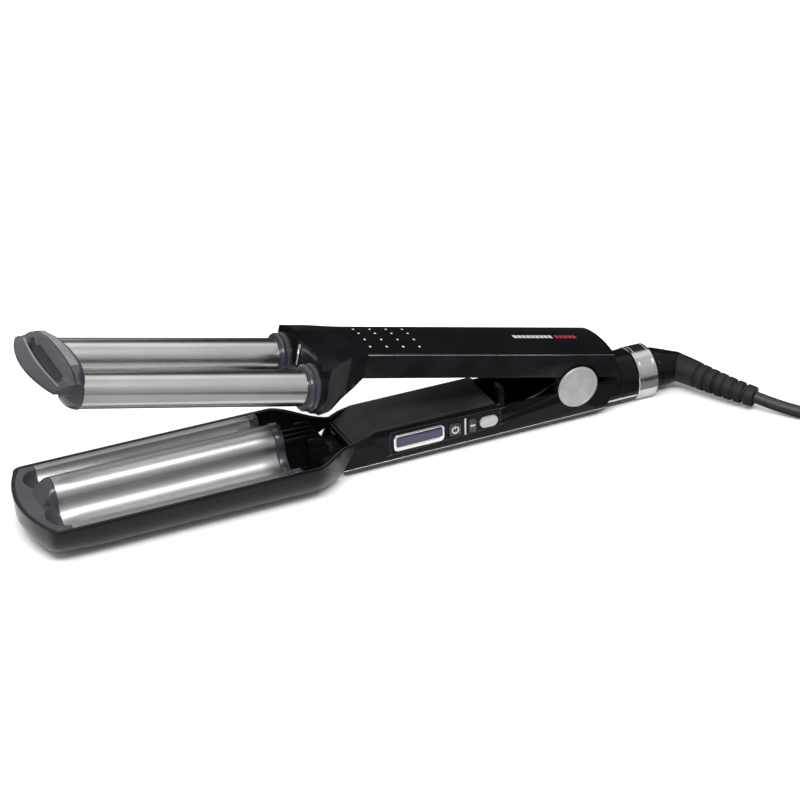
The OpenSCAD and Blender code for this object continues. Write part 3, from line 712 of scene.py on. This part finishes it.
def capHeight(x, y):
    # flat deck, two scooped pockets and the rounded end of the ridge
    deep = x - plate["front"]
    deck = jaw["rim"] - 0.05
    ridgeHeight = plate["ridgeV"] + math.sqrt(max(0, plate["ridgeRadius"] ** 2 - y * y))
    tilted = plate["ridgeV"] + plate["ridgeRadius"] - (-deep - 0.5) * 1.25
    pocket = plate["valleyRadius"] ** 2 - (abs(y) - plate["barrelY"]) ** 2 - (deep * 1.12) ** 2
    height = deck
    if pocket > 0:
        height = min(deck, plate["barrelV"] - math.sqrt(pocket))
    if abs(y) < plate["ridgeRadius"]:
        height = max(height, min(ridgeHeight, tilted))
    return height


def makeFrontCap():
    rows, inset = [], jaw["wall"] + 0.05
    for i in range(37):
        t = i / 36
        row = []
        for k in range(97):
            s = -1 + 2 * k / 96
            y = s * (plate["lipY"] - 0.1)
            bow = jaw["tip"] + jaw["bow"] - math.sqrt((jaw["bow"] - inset) ** 2 - y * y)
            if abs(y) > 26:
                bow = max(bow, -281 - math.sqrt(max(0, (6.5 - inset) ** 2 - (min(abs(y), 32.44) - 28) ** 2)) if abs(y) > 28 else bow)
            x = plate["front"] + (bow - plate["front"]) * t
            z = capHeight(x, y)
            row.append(spot(x, y, z))
        rows.append(row)
    deck = loft("lowerEndCap", rows)
    applyModifier(deck, "SOLIDIFY", thickness=1.4 * mm, offset=-1)
    return toBase(deck)


def makeRearCollar():
    top = waveLine(0.4)
    outline = top + [(30.5, -8), (27, -12.5), (-27, -12.5), (-30.5, -8)]
    band = prism("lowerCollar", [spot(plate["rear"] + 0.25, y, z) for y, z in outline], spot(4.7, 0, 0))
    roundEdges(band, 0.7, 3, 50)
    return toBase(band)


def makeFinBracket():
    parts = [addBlock("fin", (-158.7, -5.5, -19.4), (-136, 5.5, -3)),
             addBlock("fin", (-147, -11, -19.3), (-136.2, 11, -3.2)),
             addBlock("fin", (-158.6, -21, -17), (-137.2, 21, -15)),
             addBlock("fin", (-136, -8, -14.6), (-126.5, 8, -9))]
    for i in (-2, -1, 0, 1, 2):
        front = -158.7 if abs(i) < 2 else -147
        fin = prism("fin", [spot(front, i * 4.6 - 0.9, -3.4), spot(front, i * 4.6 - 0.9, 1.0),
                            spot(front + 0.8, i * 4.6 - 0.9, 1.8), spot(-141, i * 4.6 - 0.9, 1.7),
                            spot(-138.4, i * 4.6 - 0.9, 0.2), spot(-137.5, i * 4.6 - 0.9, -3.4)], spot(0, 1.8, 0))
        parts.append(fin)
    for i in (-4, -3, -2, 2, 3, 4):
        parts.append(addBlock("fin", (-158.6, i * 4.6 - 0.9, -15.2), (-148, i * 4.6 + 0.9, -12.5)))
    for part in parts:
        roundEdges(part, 0.35)
    for side in (-1, 1):
        parts.append(turned("bolt", [(-15, 0), (-15, 2.2), (-13.4, 2.2), (-13, 1.8), (-13, 0.9), (-13.5, 0.9), (-13.5, 0)],
                            (-141.5, side * 14.5, 0), "Z", 24))
    return toBase(joinAll("finBracket", parts))


deliver(makeJaw(), "lower_arm", "jawBlack", ["jaw_shell"], 40)
deliver(makeWavePlate(), "lower_arm", "plateGrey", ["wave_plate"], 40)
deliver(makeFrontCap(), "lower_arm", "violetGrey", ["lower_end_cap"], 50)
deliver(makeRearCollar(), "lower_arm", "violetGrey", ["lower_collar"], 40)
deliver(makeFinBracket(), "lower_arm", "bracketBlack", ["lower_bracket"], 35)
print("lower jaw built")


# lower handle

handle = {"halfWidth": 17, "edge": 0.5}
panel = {"z": -7.5, "front": -106, "rear": -44, "top": -1.6, "bottom": -13.2}


def makePanelLine():
    # the fine pressed line round the controls
    outline = ([(-105.6, -0.9), (-106, -7), (-105.4, -13.1), (-103, -13.6)] + [(-46.5, -11.4), (-44.9, -10.6)]
               + [(-44.3, -6), (-44.6, -2.4), (-46.2, -1.7)])
    points = [spot(x, -17.02, z) for x, z in outline]
    ring = smoothRoute(points + [points[0]], 6)
    thread = bpy.data.curves.new("panelLine", "CURVE")
    thread.dimensions, thread.bevel_depth, thread.bevel_resolution = "3D", 0.16 * mm, 2
    line = thread.splines.new("POLY")
    line.points.add(len(ring) - 1)
    for target, point in zip(line.points, ring):
        target.co = (*point, 1)
    obj = bpy.data.objects.new("panelLine", thread)
    bpy.context.collection.objects.link(obj)
    pick(obj)
    bpy.ops.object.convert(target="MESH")
    return toBase(obj)


def makeBezel():
    z = panel["z"]
    outer = prism("displayBezel", [spot(-90 + a, -17.5, z + b) for a, b in roundedBox(28, 9.2, 2.2)], spot(0, 2.6, 0))
    hole = prism("hole", [spot(-89.8 + a, -18.5, z + 0.6 + b) for a, b in roundedBox(25.6, 5.6, 1.2)], spot(0, 5, 0))
    carve(outer, hole)
    roundEdges(outer, 0.35, 3, 40)
    return toBase(outer)


def makeLens():
    z = panel["z"] + 0.6
    glass = prism("displayLens", [spot(-89.8 + a, -17.2, z + b) for a, b in roundedBox(25.4, 5.4, 1.1)], spot(0, 1.3, 0))
    roundEdges(glass, 0.25, 3, 40)
    return toBase(glass)


def makePowerKey():
    z = panel["z"]
    cap = prism("powerKey", [spot(-70.1 + a, -17.9, z + b) for a, b in roundedBox(6.5, 6.7, 1.2)], spot(0, 2.7, 0))
    skirt = addBlock("skirt", (-74.2, -14.9, z - 4.1), (-66, -14.3, z + 4.1))
    roundEdges(cap, 0.35, 3, 40)
    return toBase(joinAll("powerKey", [cap, skirt]))


def makePowerMark():
    # an open ring with a short stroke
    z, parts = panel["z"], []
    clearBench()
    bpy.ops.mesh.primitive_torus_add(location=spot(-70.1, -17.92, z), rotation=(math.pi / 2, 0, 0), major_segments=40,
                                     minor_segments=8, major_radius=1.75 * mm, minor_radius=0.34 * mm)
    ring = applyPlace(bpy.context.object)
    gap = addBlock("gap", (-70.75, -19, z + 0.9), (-69.45, -17, z + 3))
    carve(ring, gap)
    stroke = addBlock("stroke", (-70.4, -18.15, z + 0.5), (-69.8, -17.8, z + 2.3))
    roundEdges(stroke, 0.12)
    return toBase(joinAll("powerMark", [ring, stroke]))


def makeLevelKey():
    z = panel["z"]
    cap = prism("levelKey", [spot(-60.3 + a, -17.9, z + b) for a, b in roundedBox(4.1, 7.5, 0.9)], spot(0, 2.7, 0))
    skirt = addBlock("skirt", (-62.9, -14.9, z - 4.5), (-57.7, -14.3, z + 4.5))
    roundEdges(cap, 0.3, 3, 40)
    return toBase(joinAll("levelKey", [cap, skirt]))


def makeLevelMark():
    mark = addBlock("levelMark", (-61.7, -18.05, panel["z"] - 0.35), (-58.9, -17.8, panel["z"] + 0.55))
    return toBase(roundEdges(mark, 0.1))


def makeIonKey():
    z = panel["z"]
    cap = prism("ionKey", [spot(-51.1 + a, -17.9, z + b) for a, b in roundedBox(10.1, 5.9, 2.9, 8)], spot(0, 2.7, 0))
    dish = prism("dish", [spot(-51.1 + a, -18.5, z + b) for a, b in roundedBox(7.6, 3.4, 1.65, 8)], spot(0, 0.85, 0))
    carve(cap, dish)
    roundEdges(cap, 0.28, 3, 40)
    skirt = addBlock("skirt", (-56.9, -14.9, z - 3.7), (-45.3, -14.3, z + 3.7))
    return toBase(joinAll("ionKey", [cap, skirt]))


def makeDivider():
    bar = addBlock("dividerBar", (-64.55, -17.2, panel["z"] - 4.7), (-63.65, -16.6, panel["z"] + 4.7))
    return toBase(roundEdges(bar, 0.18, 3))


deliver(mouldedFrom("handleShell", "lower_handle", handle["edge"], 34, 3), "lower_arm", "glossBlack",
        ["lower_handle"], 34)
deliver(mouldedFrom("innerCover", "lower_inner_cover", 0.6, 30, 3), "lower_arm", "satinBlack",
        ["lower_inner_cover"])
deliver(mouldedFrom("lowerBase", "lower_base", 0.3, 34), "lower_arm", "shellBlack", ["lower_base"])
deliver(mouldedFrom("lowerTrim", "lower_trim", 0.08, 40), "lower_arm", "goldTrim", ["lower_trim"])
deliver(makePanelLine(), "lower_arm", "keyBlack", (), 60)
deliver(makeBezel(), "lower_arm", "silverTrimAndHighlight", ["display_bezel"])
deliver(makeLens(), "lower_arm", "displayGlass", ["display_lens"])
deliver(makeDivider(), "lower_arm", "paleMark", ["divider_bar"])
deliver(makePowerKey(), "power_button", "keyBlack", ["power_button"])
deliver(makePowerMark(), "power_button", "paleMark", (), 60)
deliver(makeLevelKey(), "level_key", "keyBlack", ["level_key"])
deliver(makeLevelMark(), "level_key", "paleMark", ())
deliver(makeIonKey(), "ion_button", "keySilver", ["ion_button"])
print("lower handle and controls built")


# hinge

disc = {"radius": 11.25, "proud": 1.3, "inset": 17}


def makeDisc(side, name):
    rim = [(0, 0), (0, disc["radius"] - 0.2), (0.25, disc["radius"]), (0.75, disc["radius"]), (1.1, disc["radius"] - 0.35),
           (1.28, disc["radius"] - 0.9), (1.22, disc["radius"] - 1.3), (1.02, disc["radius"] - 1.5),
           (1.06, 6), (1.1, 0)]
    cover = turned(name, [(side * a, r) for a, r in rim], (0, side * disc["inset"], 0), "Y", 96)
    return toBase(cover)


deliver(makeDisc(-1, "hingeDiscNear"), "lower_arm", "satinDisc", ["hinge_disc_near"], 25)
deliver(makeDisc(1, "hingeDiscFar"), "lower_arm", "satinDisc", ["hinge_disc_far"], 25)
print("hinge covered")


# upper arm

barrel = {"radius": 9, "wall": 1, "front": -270.8, "rear": -157.2, "y": 18.6, "v": 1.46}
tip = {"front": -293.1, "rear": -266.5, "bow": 80, "rearBow": 83, "halfWidth": 30.4}
cover = {"crown": 69.9, "crownCentre": -49.5, "halfWidth": 17}


def makeBarrel(side, name):
    r, inner = barrel["radius"], barrel["radius"] - barrel["wall"]
    tube = turned(name, [(barrel["front"], inner), (barrel["front"], r - 0.25), (barrel["front"] + 0.25, r),
                         (-214, r), (barrel["rear"] - 0.25, r), (barrel["rear"], r - 0.25), (barrel["rear"], inner),
                         (barrel["front"], inner)], (0, side * barrel["y"], barrel["v"]), "X", 128)
    return toArm(tube)


def makeCollar(side, name):
    x = barrel["rear"]
    ring = turned(name, [(x + 0.02, 0), (x + 0.02, 10.4), (x + 0.3, 11.2), (x + 0.9, 11.55), (x + 2.2, 11.55),
                         (x + 2.7, 11.2), (x + 3.0, 10.9), (x + 3.3, 11.3), (x + 3.9, 11.9), (x + 5, 11.98),
                         (x + 7.8, 11.98), (x + 8.6, 11.6), (x + 8.95, 10.9), (x + 8.95, 0)],
                  (0, side * barrel["y"], barrel["v"]), "X", 96)
    return toArm(ring)


leafTop = [  # (distance back from the front edge, height, share of the hollow)
    (0.0, 5.4, 0), (0.2, 5.9, 0), (1.0, 6.35, 0), (3.0, 6.95, 0), (5.4, 7.6, 0), (6.5, 7.95, 0), (7.3, 8.1, 0),
    (7.9, 7.9, 0.1), (8.4, 7.35, 0.4), (9.2, 6.5, 0.8), (10.2, 6.1, 1), (11.6, 6.1, 1), (13.2, 6.75, 0.9),
    (14.8, 8.0, 0.7), (16.2, 9.3, 0.45), (17.4, 10.2, 0.2), (18.4, 10.75, 0.05), (19.0, 10.9, 0), (19.5, 10.75, 0),
    (20.0, 10.8, 0), (20.8, 11.05, 0), (22.6, 11.2, 0), (24.4, 11.1, 0), (25.6, 10.75, 0), (26.3, 10.2, 0),
    (26.6, 9.9, 0),
]
leafUnder = [(26.6, 9.4), (17.4, 9.4), (15.6, 8.1), (12.1, 5.0), (8.1, 4.6), (0.3, 4.7)]


def makeTipCap():
    rows, half = [], tip["halfWidth"]
    for back, v, hollow in leafTop + [(back, v, 0) for back, v in leafUnder]:
        row = []
        for k in range(61):
            y = half * (-1 + 2 * k / 60)
            share = abs(y) / half
            frontEdge = tip["front"] + tip["bow"] - math.sqrt(tip["bow"] ** 2 - y * y)
            rearEdge = tip["rear"] - tip["rearBow"] + math.sqrt(tip["rearBow"] ** 2 - y * y)
            u = frontEdge + (rearEdge - frontEdge) * back / 26.6
            # the hollow is an oval; both ends of the leaf come down to the rim
            ends = blendStep((share - 0.6) / 0.4)
            shoulder = 6.2 + 3.1 * blendStep((back - 3) / 12)
            height = v
            if hollow:
                height = v + (shoulder - v) * blendStep((share - 0.62) / 0.2) * (1 if v < shoulder else 0)
            if v > shoulder and back > 3:
                height = v - (v - shoulder) * ends * 0.75
            low = between([(0, 4.7), (8.1, 4.6), (12.1, 5.0), (15.6, 8.1), (17.4, 9.4), (26.6, 9.4)], back)
            row.append(spot(u, y, max(height, low + 0.02)))
        rows.append(row)
    rows.append([p.copy() for p in rows[0]])
    parts = [loft("leaf", rows, closed=True, capped=True)]
    for side in (-1, 1):
        profile = [(0, 0), (0, 9.1), (-0.35, 9.38)]
        profile += [(-9.39 * math.sin(math.radians(a)), 9.39 * math.cos(math.radians(a))) for a in range(6, 90, 6)]
        parts.append(turned("nose", profile + [(-9.39, 0)], (barrel["front"] - 0.02, side * barrel["y"], barrel["v"]), "X", 64))
        web = prism("web", [spot(u, side * barrel["y"] - 8.2, v) for u, v in
                            ((-271, 1.5), (-279.4, 1.5), (-287.6, 4.9), (-282, 5.6), (-277.6, 8.2), (-273, 10.2), (-271, 10.3))],
                    spot(0, 16.4, 0))
        parts.append(roundEdges(web, 1.2, 3, 30))
    return toArm(joinAll("upperEndCap", parts))


def paintLeafShadeAndHighlight(obj):
    # painted shade in the hollow and crease, painted highlight on the rim and crown
    obj.data.materials.append(finishes["leafPaintedShade"])
    obj.data.materials.append(finishes["leafPaintedHighlight"])
    back = (Matrix.Translation((0, 0, hinge["height"] * mm)) @ Matrix.Rotation(math.radians(hinge["openAngle"]), 4, "Y")).inverted()
    for face in obj.data.polygons:
        u, y, v = back @ face.center / mm
        if v < 5.5 or abs(y) > 30.2:
            continue
        frontEdge = tip["front"] + tip["bow"] - math.sqrt(tip["bow"] ** 2 - y * y)
        rearEdge = tip["rear"] - tip["rearBow"] + math.sqrt(tip["rearBow"] ** 2 - y * y)
        share = (u - frontEdge) / (rearEdge - frontEdge) * 26.6
        if 6.2 < share < 7.9 and abs(y) < 27:
            # painted highlight along the rim
            face.material_index = 2
        elif ((share - 11.4) / 3.9) ** 2 + (y / 25) ** 2 < 1 or 19 <= share < 19.8:
            # painted shade in the hollow and the crease
            face.material_index = 1
        elif 19.8 <= share < 24.5 and -12 < y:
            # painted highlight on the crown
            face.material_index = 2
    return obj


def makeCoverSolid():
    # a low crowned lid
    edge = math.degrees(math.asin(cover["halfWidth"] / cover["crown"]))
    outline = [(-17, 18.12), (-17, 18.25)] + arc((0, cover["crownCentre"]), cover["crown"], 90 + edge, 90 - edge, 32)[1:-1]
    outline += [(17, 18.25), (17, 18.12)]
    lid = prism("handleCover", [spot(-123.5, y, v) for y, v in outline], spot(141.4, 0, 0))
    roundEdges(lid, 0.45, 3, 50)
    return toArm(lid)


def makeTrimUpper():
    strip = addBlock("upperTrim", (-123.5, -17.2, 17.72), (18, 17.2, 18.1))
    roundEdges(strip, 0.12, 2)
    return toArm(strip)


def makeGripDots():
    first = turned("gripDot", [(-0.4, 0), (-0.4, 0.68), (0, 0.68), (0.14, 0.56), (0.24, 0.3), (0.27, 0)], (0, 0, 0), "Z", 16)
    dots = []
    for y in (-10.5, -3.5, 4, 10.5):
        for i in range(4):
            dot = copyOf(first, "gripDot")
            crown = cover["crownCentre"] + math.sqrt(cover["crown"] ** 2 - y * y)
            tilt = Matrix.Rotation(-math.asin(y / cover["crown"]), 4, "X")
            dot.data.transform(Matrix.Translation(spot(-120 + 9.1 * i, y, crown)) @ tilt)
            dots.append(dot)
    bpy.data.objects.remove(first, do_unlink=True)
    return toArm(joinAll("gripDots", dots))


def makeNameBar(name, start, count):
    # a row of plain upright strokes in place of a name
    strokes = []
    for i in range(count):
        u = start + 2.6 * i
        strokes.append(roundEdges(addBlock(name, (u, -1.6, 20.1), (u + 2.0, 1.6, 20.52)), 0.16, 3))
    return toArm(joinAll(name, strokes))


hood = {
    # half width, edge height, foot half width and foot height along the bracket
    "half": [(-152.2, 28), (-148, 27.5), (-141, 23.2), (-134, 19.4), (-128, 17.3), (-123.6, 16.9)],
    "edge": [(-152.2, 14.2), (-148, 14.4), (-141, 16.4), (-134, 17.6), (-128, 18.2), (-123.6, 18.3)],
    "footHalf": [(-152.2, 25), (-148, 25), (-141, 22.5), (-134, 18.6), (-128, 17), (-123.6, 16.9)],
    "foot": [(-152.2, -9), (-148, -11.4), (-141, -10.4), (-134, -5.4), (-128, -0.9), (-123.6, 4.4)],
    "crown": 20.35, "socket": 12.7, "bore": 12.05,
}


def hoodRing(u):
    half, edge = between(hood["half"], u), between(hood["edge"], u)
    footHalf, foot = between(hood["footHalf"], u), between(hood["foot"], u)
    right = [(half * k / 12, hood["crown"] - (hood["crown"] - edge) * (k / 12) ** 2.2) for k in range(13)]
    right += [(half + 0.02, edge - 0.5), (half, edge - 1.6), (half, edge - 3)]
    right += [(footHalf, foot + 5), (footHalf, foot + 1.5), (footHalf - 0.7, foot + 0.5), (footHalf - 2.5, foot), (0, foot)]
    ring = right + [(-y, v) for y, v in right[-2:0:-1]]
    return [spot(u, y, v) for y, v in ring + ring[:1]]


def makeBracket():
    places = [-152.2, -151.8, -151] + list(range(-150, -124, 2)) + [-124.2, -123.6]
    shell = loft("upperBracket", [hoodRing(u) for u in places], closed=True, capped=True)
    for side in (-1, 1):
        seat = turned("seat", [(-152.2, 0), (-152.2, 12.3), (-151.7, 12.7), (-149, 12.7), (-148.3, 12.3), (-148.3, 0)],
                      (0, side * barrel["y"], barrel["v"]), "X", 96)
        carve(shell, seat, "UNION")
        bore = turned("bore", [(-154, 0), (-154, hood["bore"]), (-148.2, hood["bore"]), (-148.2, 0)],
                      (0, side * barrel["y"], barrel["v"]), "X", 96)
        carve(shell, bore)
    carve(shell, addBlock("tunnel", (-153, -12.6, -20), (-120, 12.6, 4.2)))
    carve(shell, addBlock("well", (-146, -17, -20), (-132, 17, 12)))
    tidyMesh(shell)
    roundEdges(shell, 0.35, 3, 42)
    return toArm(shell)


def makeBracketRibHighlight():
    # a silver bar down the bracket's front between the collars: a painted highlight on the web's front edge
    rib = addBlock("bracketRibHighlight", (-152.9, -0.6, 4.9), (-152, 1.6, 15.8))
    return toArm(roundEdges(rib, 0.4, 3))


for side, name, node in ((-1, "barrelNear", "barrel_near"), (1, "barrelFar", "barrel_far")):
    deliver(makeBarrel(side, name), "upper_arm", "titanium", [node], 40)
for side, name, node in ((-1, "collarNear", "collar_near"), (1, "collarFar", "collar_far")):
    deliver(makeCollar(side, name), "upper_arm", "violetGrey", [node], 40)
# the leaf gets painted shade and painted highlight face by face
paintLeafShadeAndHighlight(deliver(makeTipCap(), "upper_arm", "violetGrey", ["upper_end_cap"], 45))
deliver(makeBracket(), "upper_arm", "bracketBlack", ["upper_bracket"], 35)
deliver(mouldedFrom("handleBase", "upper_handle_base", 0.5, 34, 3), "upper_arm", "shellBlack",
        ["upper_handle_base"], 34)
deliver(makeCoverSolid(), "upper_arm", "glossBlack", ["upper_handle_cover"], 30)
deliver(makeTrimUpper(), "upper_arm", "silverTrimAndHighlight", ["upper_trim"])
deliver(makeGripDots(), "upper_arm", "paleMark", ["grip_dots"], 60)
deliver(makeNameBar("nameBar", -34, 9), "upper_arm", "paleMark", ["name_bar"])
deliver(makeNameBar("nameDash", -9.3, 5), "upper_arm", "redMark", ())
# the bracket rib in silver is a painted highlight
deliver(makeBracketRibHighlight(), "upper_arm", "silverTrimAndHighlight", ())
print("upper arm built")


# nodes kept as they are, with their real finishes

kept = {
    "heat_spreader": "aluminium", "lower_heater": "ceramic", "heat_shield": "mica", "display_module": "moduleGrey",
    "control_board": "boardGreen", "board_clip": "satinBlack", "hinge_pin": "steel", "torsion_spring": "springWire",
    "base_screws": "steel", "rubber_feet": "softRubber", "heater_rod_near": "ceramic", "heater_rod_far": "ceramic",
    "hinge_bushes": "bronze", "bracket_screws": "steel", "wire_guide": "satinBlack",
}
for node, finish in kept.items():
    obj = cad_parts[node]
    for slot in obj.material_slots:
        slot.material = finishes[finish]
    if not obj.material_slots:
        obj.data.materials.append(finishes[finish])
print("kept nodes painted:", len(kept))


# studio

studio = {"floorSize": 14, "floorTone": 0.9, "worldLow": 0.5, "worldHigh": 0.95}


def makeFloor():
    clearBench()
    bpy.ops.mesh.primitive_plane_add(size=studio["floorSize"], location=(0, 0, -0.0002))
    floor = bpy.context.object
    floor.name = "floor"
    finish = bpy.data.materials.new("floorPaper")
    finish.use_nodes = True
    shader = finish.node_tree.nodes["Principled BSDF"]
    shader.inputs["Base Color"].default_value = (studio["floorTone"],) * 3 + (1,)
    shader.inputs["Roughness"].default_value = 0.9
    shader.inputs["Specular IOR Level"].default_value = 0.1
    floor.data.materials.append(finish)


def addCard(name, low, high, tone):
    # a dark card that only shows in reflections
    card = addBlock(name, low, high)
    finish = bpy.data.materials.new(name)
    finish.use_nodes = True
    shader = finish.node_tree.nodes["Principled BSDF"]
    shader.inputs["Base Color"].default_value = (tone, tone, tone, 1)
    shader.inputs["Roughness"].default_value = 1
    shader.inputs["Specular IOR Level"].default_value = 0
    card.data.materials.append(finish)
    card.visible_camera = card.visible_diffuse = card.visible_shadow = False
    card.visible_transmission = False


def addPanel(name, place, aim, size, power, glossy=True):
    light = bpy.data.lights.new(name, "AREA")
    light.shape, light.size, light.size_y, light.energy = "RECTANGLE", size[0], size[1], power
    obj = bpy.data.objects.new(name, light)
    obj.location = place
    obj.rotation_mode = "QUATERNION"
    obj.rotation_quaternion = (Vector(aim) - Vector(place)).to_track_quat("-Z", "Y")
    obj.visible_glossy = glossy
    bpy.context.collection.objects.link(obj)


def makeWorld():
    world = bpy.data.worlds.new("studio")
    bpy.context.scene.world = world
    world.use_nodes = True
    nodes, links = world.node_tree.nodes, world.node_tree.links
    back = nodes["Background"]
    where = nodes.new("ShaderNodeTexCoord")
    split = nodes.new("ShaderNodeSeparateXYZ")
    ramp = nodes.new("ShaderNodeValToRGB")
    ramp.color_ramp.elements[0].position, ramp.color_ramp.elements[1].position = 0.0, 0.8
    ramp.color_ramp.elements[0].color = (studio["worldLow"],) * 3 + (1,)
    ramp.color_ramp.elements[1].color = (studio["worldHigh"],) * 3 + (1,)
    links.new(where.outputs["Generated"], split.inputs["Vector"])
    links.new(split.outputs["Z"], ramp.inputs["Fac"])
    links.new(ramp.outputs["Color"], back.inputs["Color"])
    back.inputs["Strength"].default_value = 1.0


makeFloor()
makeWorld()
addCard("barrelCard", (-1300, -1500, 0.5), (-95, -60, 1), 0.36)
addCard("handleCard", (-95, -1500, 0.5), (1300, -50, 1), 0.03)
addCard("backCard", (-1300, 90, 0.5), (1300, 1500, 1), 0.02)
addCard("swivelCard", (12, 22, 0.5), (110, 90, 1), 0.03)
addCard("ringCard", (15, -50, 0.5), (110, -19, 1), 0.2)
addCard("backScreen", (125, 600, 1), (2200, 610, 1300), 0.02)
addPanel("softbox", (-0.36, -0.62, 0.95), (-0.1, 0, 0.04), (1.1, 0.2), 12)
addPanel("topStrip", (-0.1, 0.25, 1.0), (-0.1, 0, 0.05), (1.4, 0.6), 1.5)
addPanel("floorFill", (-0.1, -0.1, 2.2), (-0.1, 0, 0), (3.2, 3.2), 30, glossy=False)
bpy.context.scene.view_settings.view_transform = "Standard"
bpy.context.scene.view_settings.look = "None"
print("studio lit")
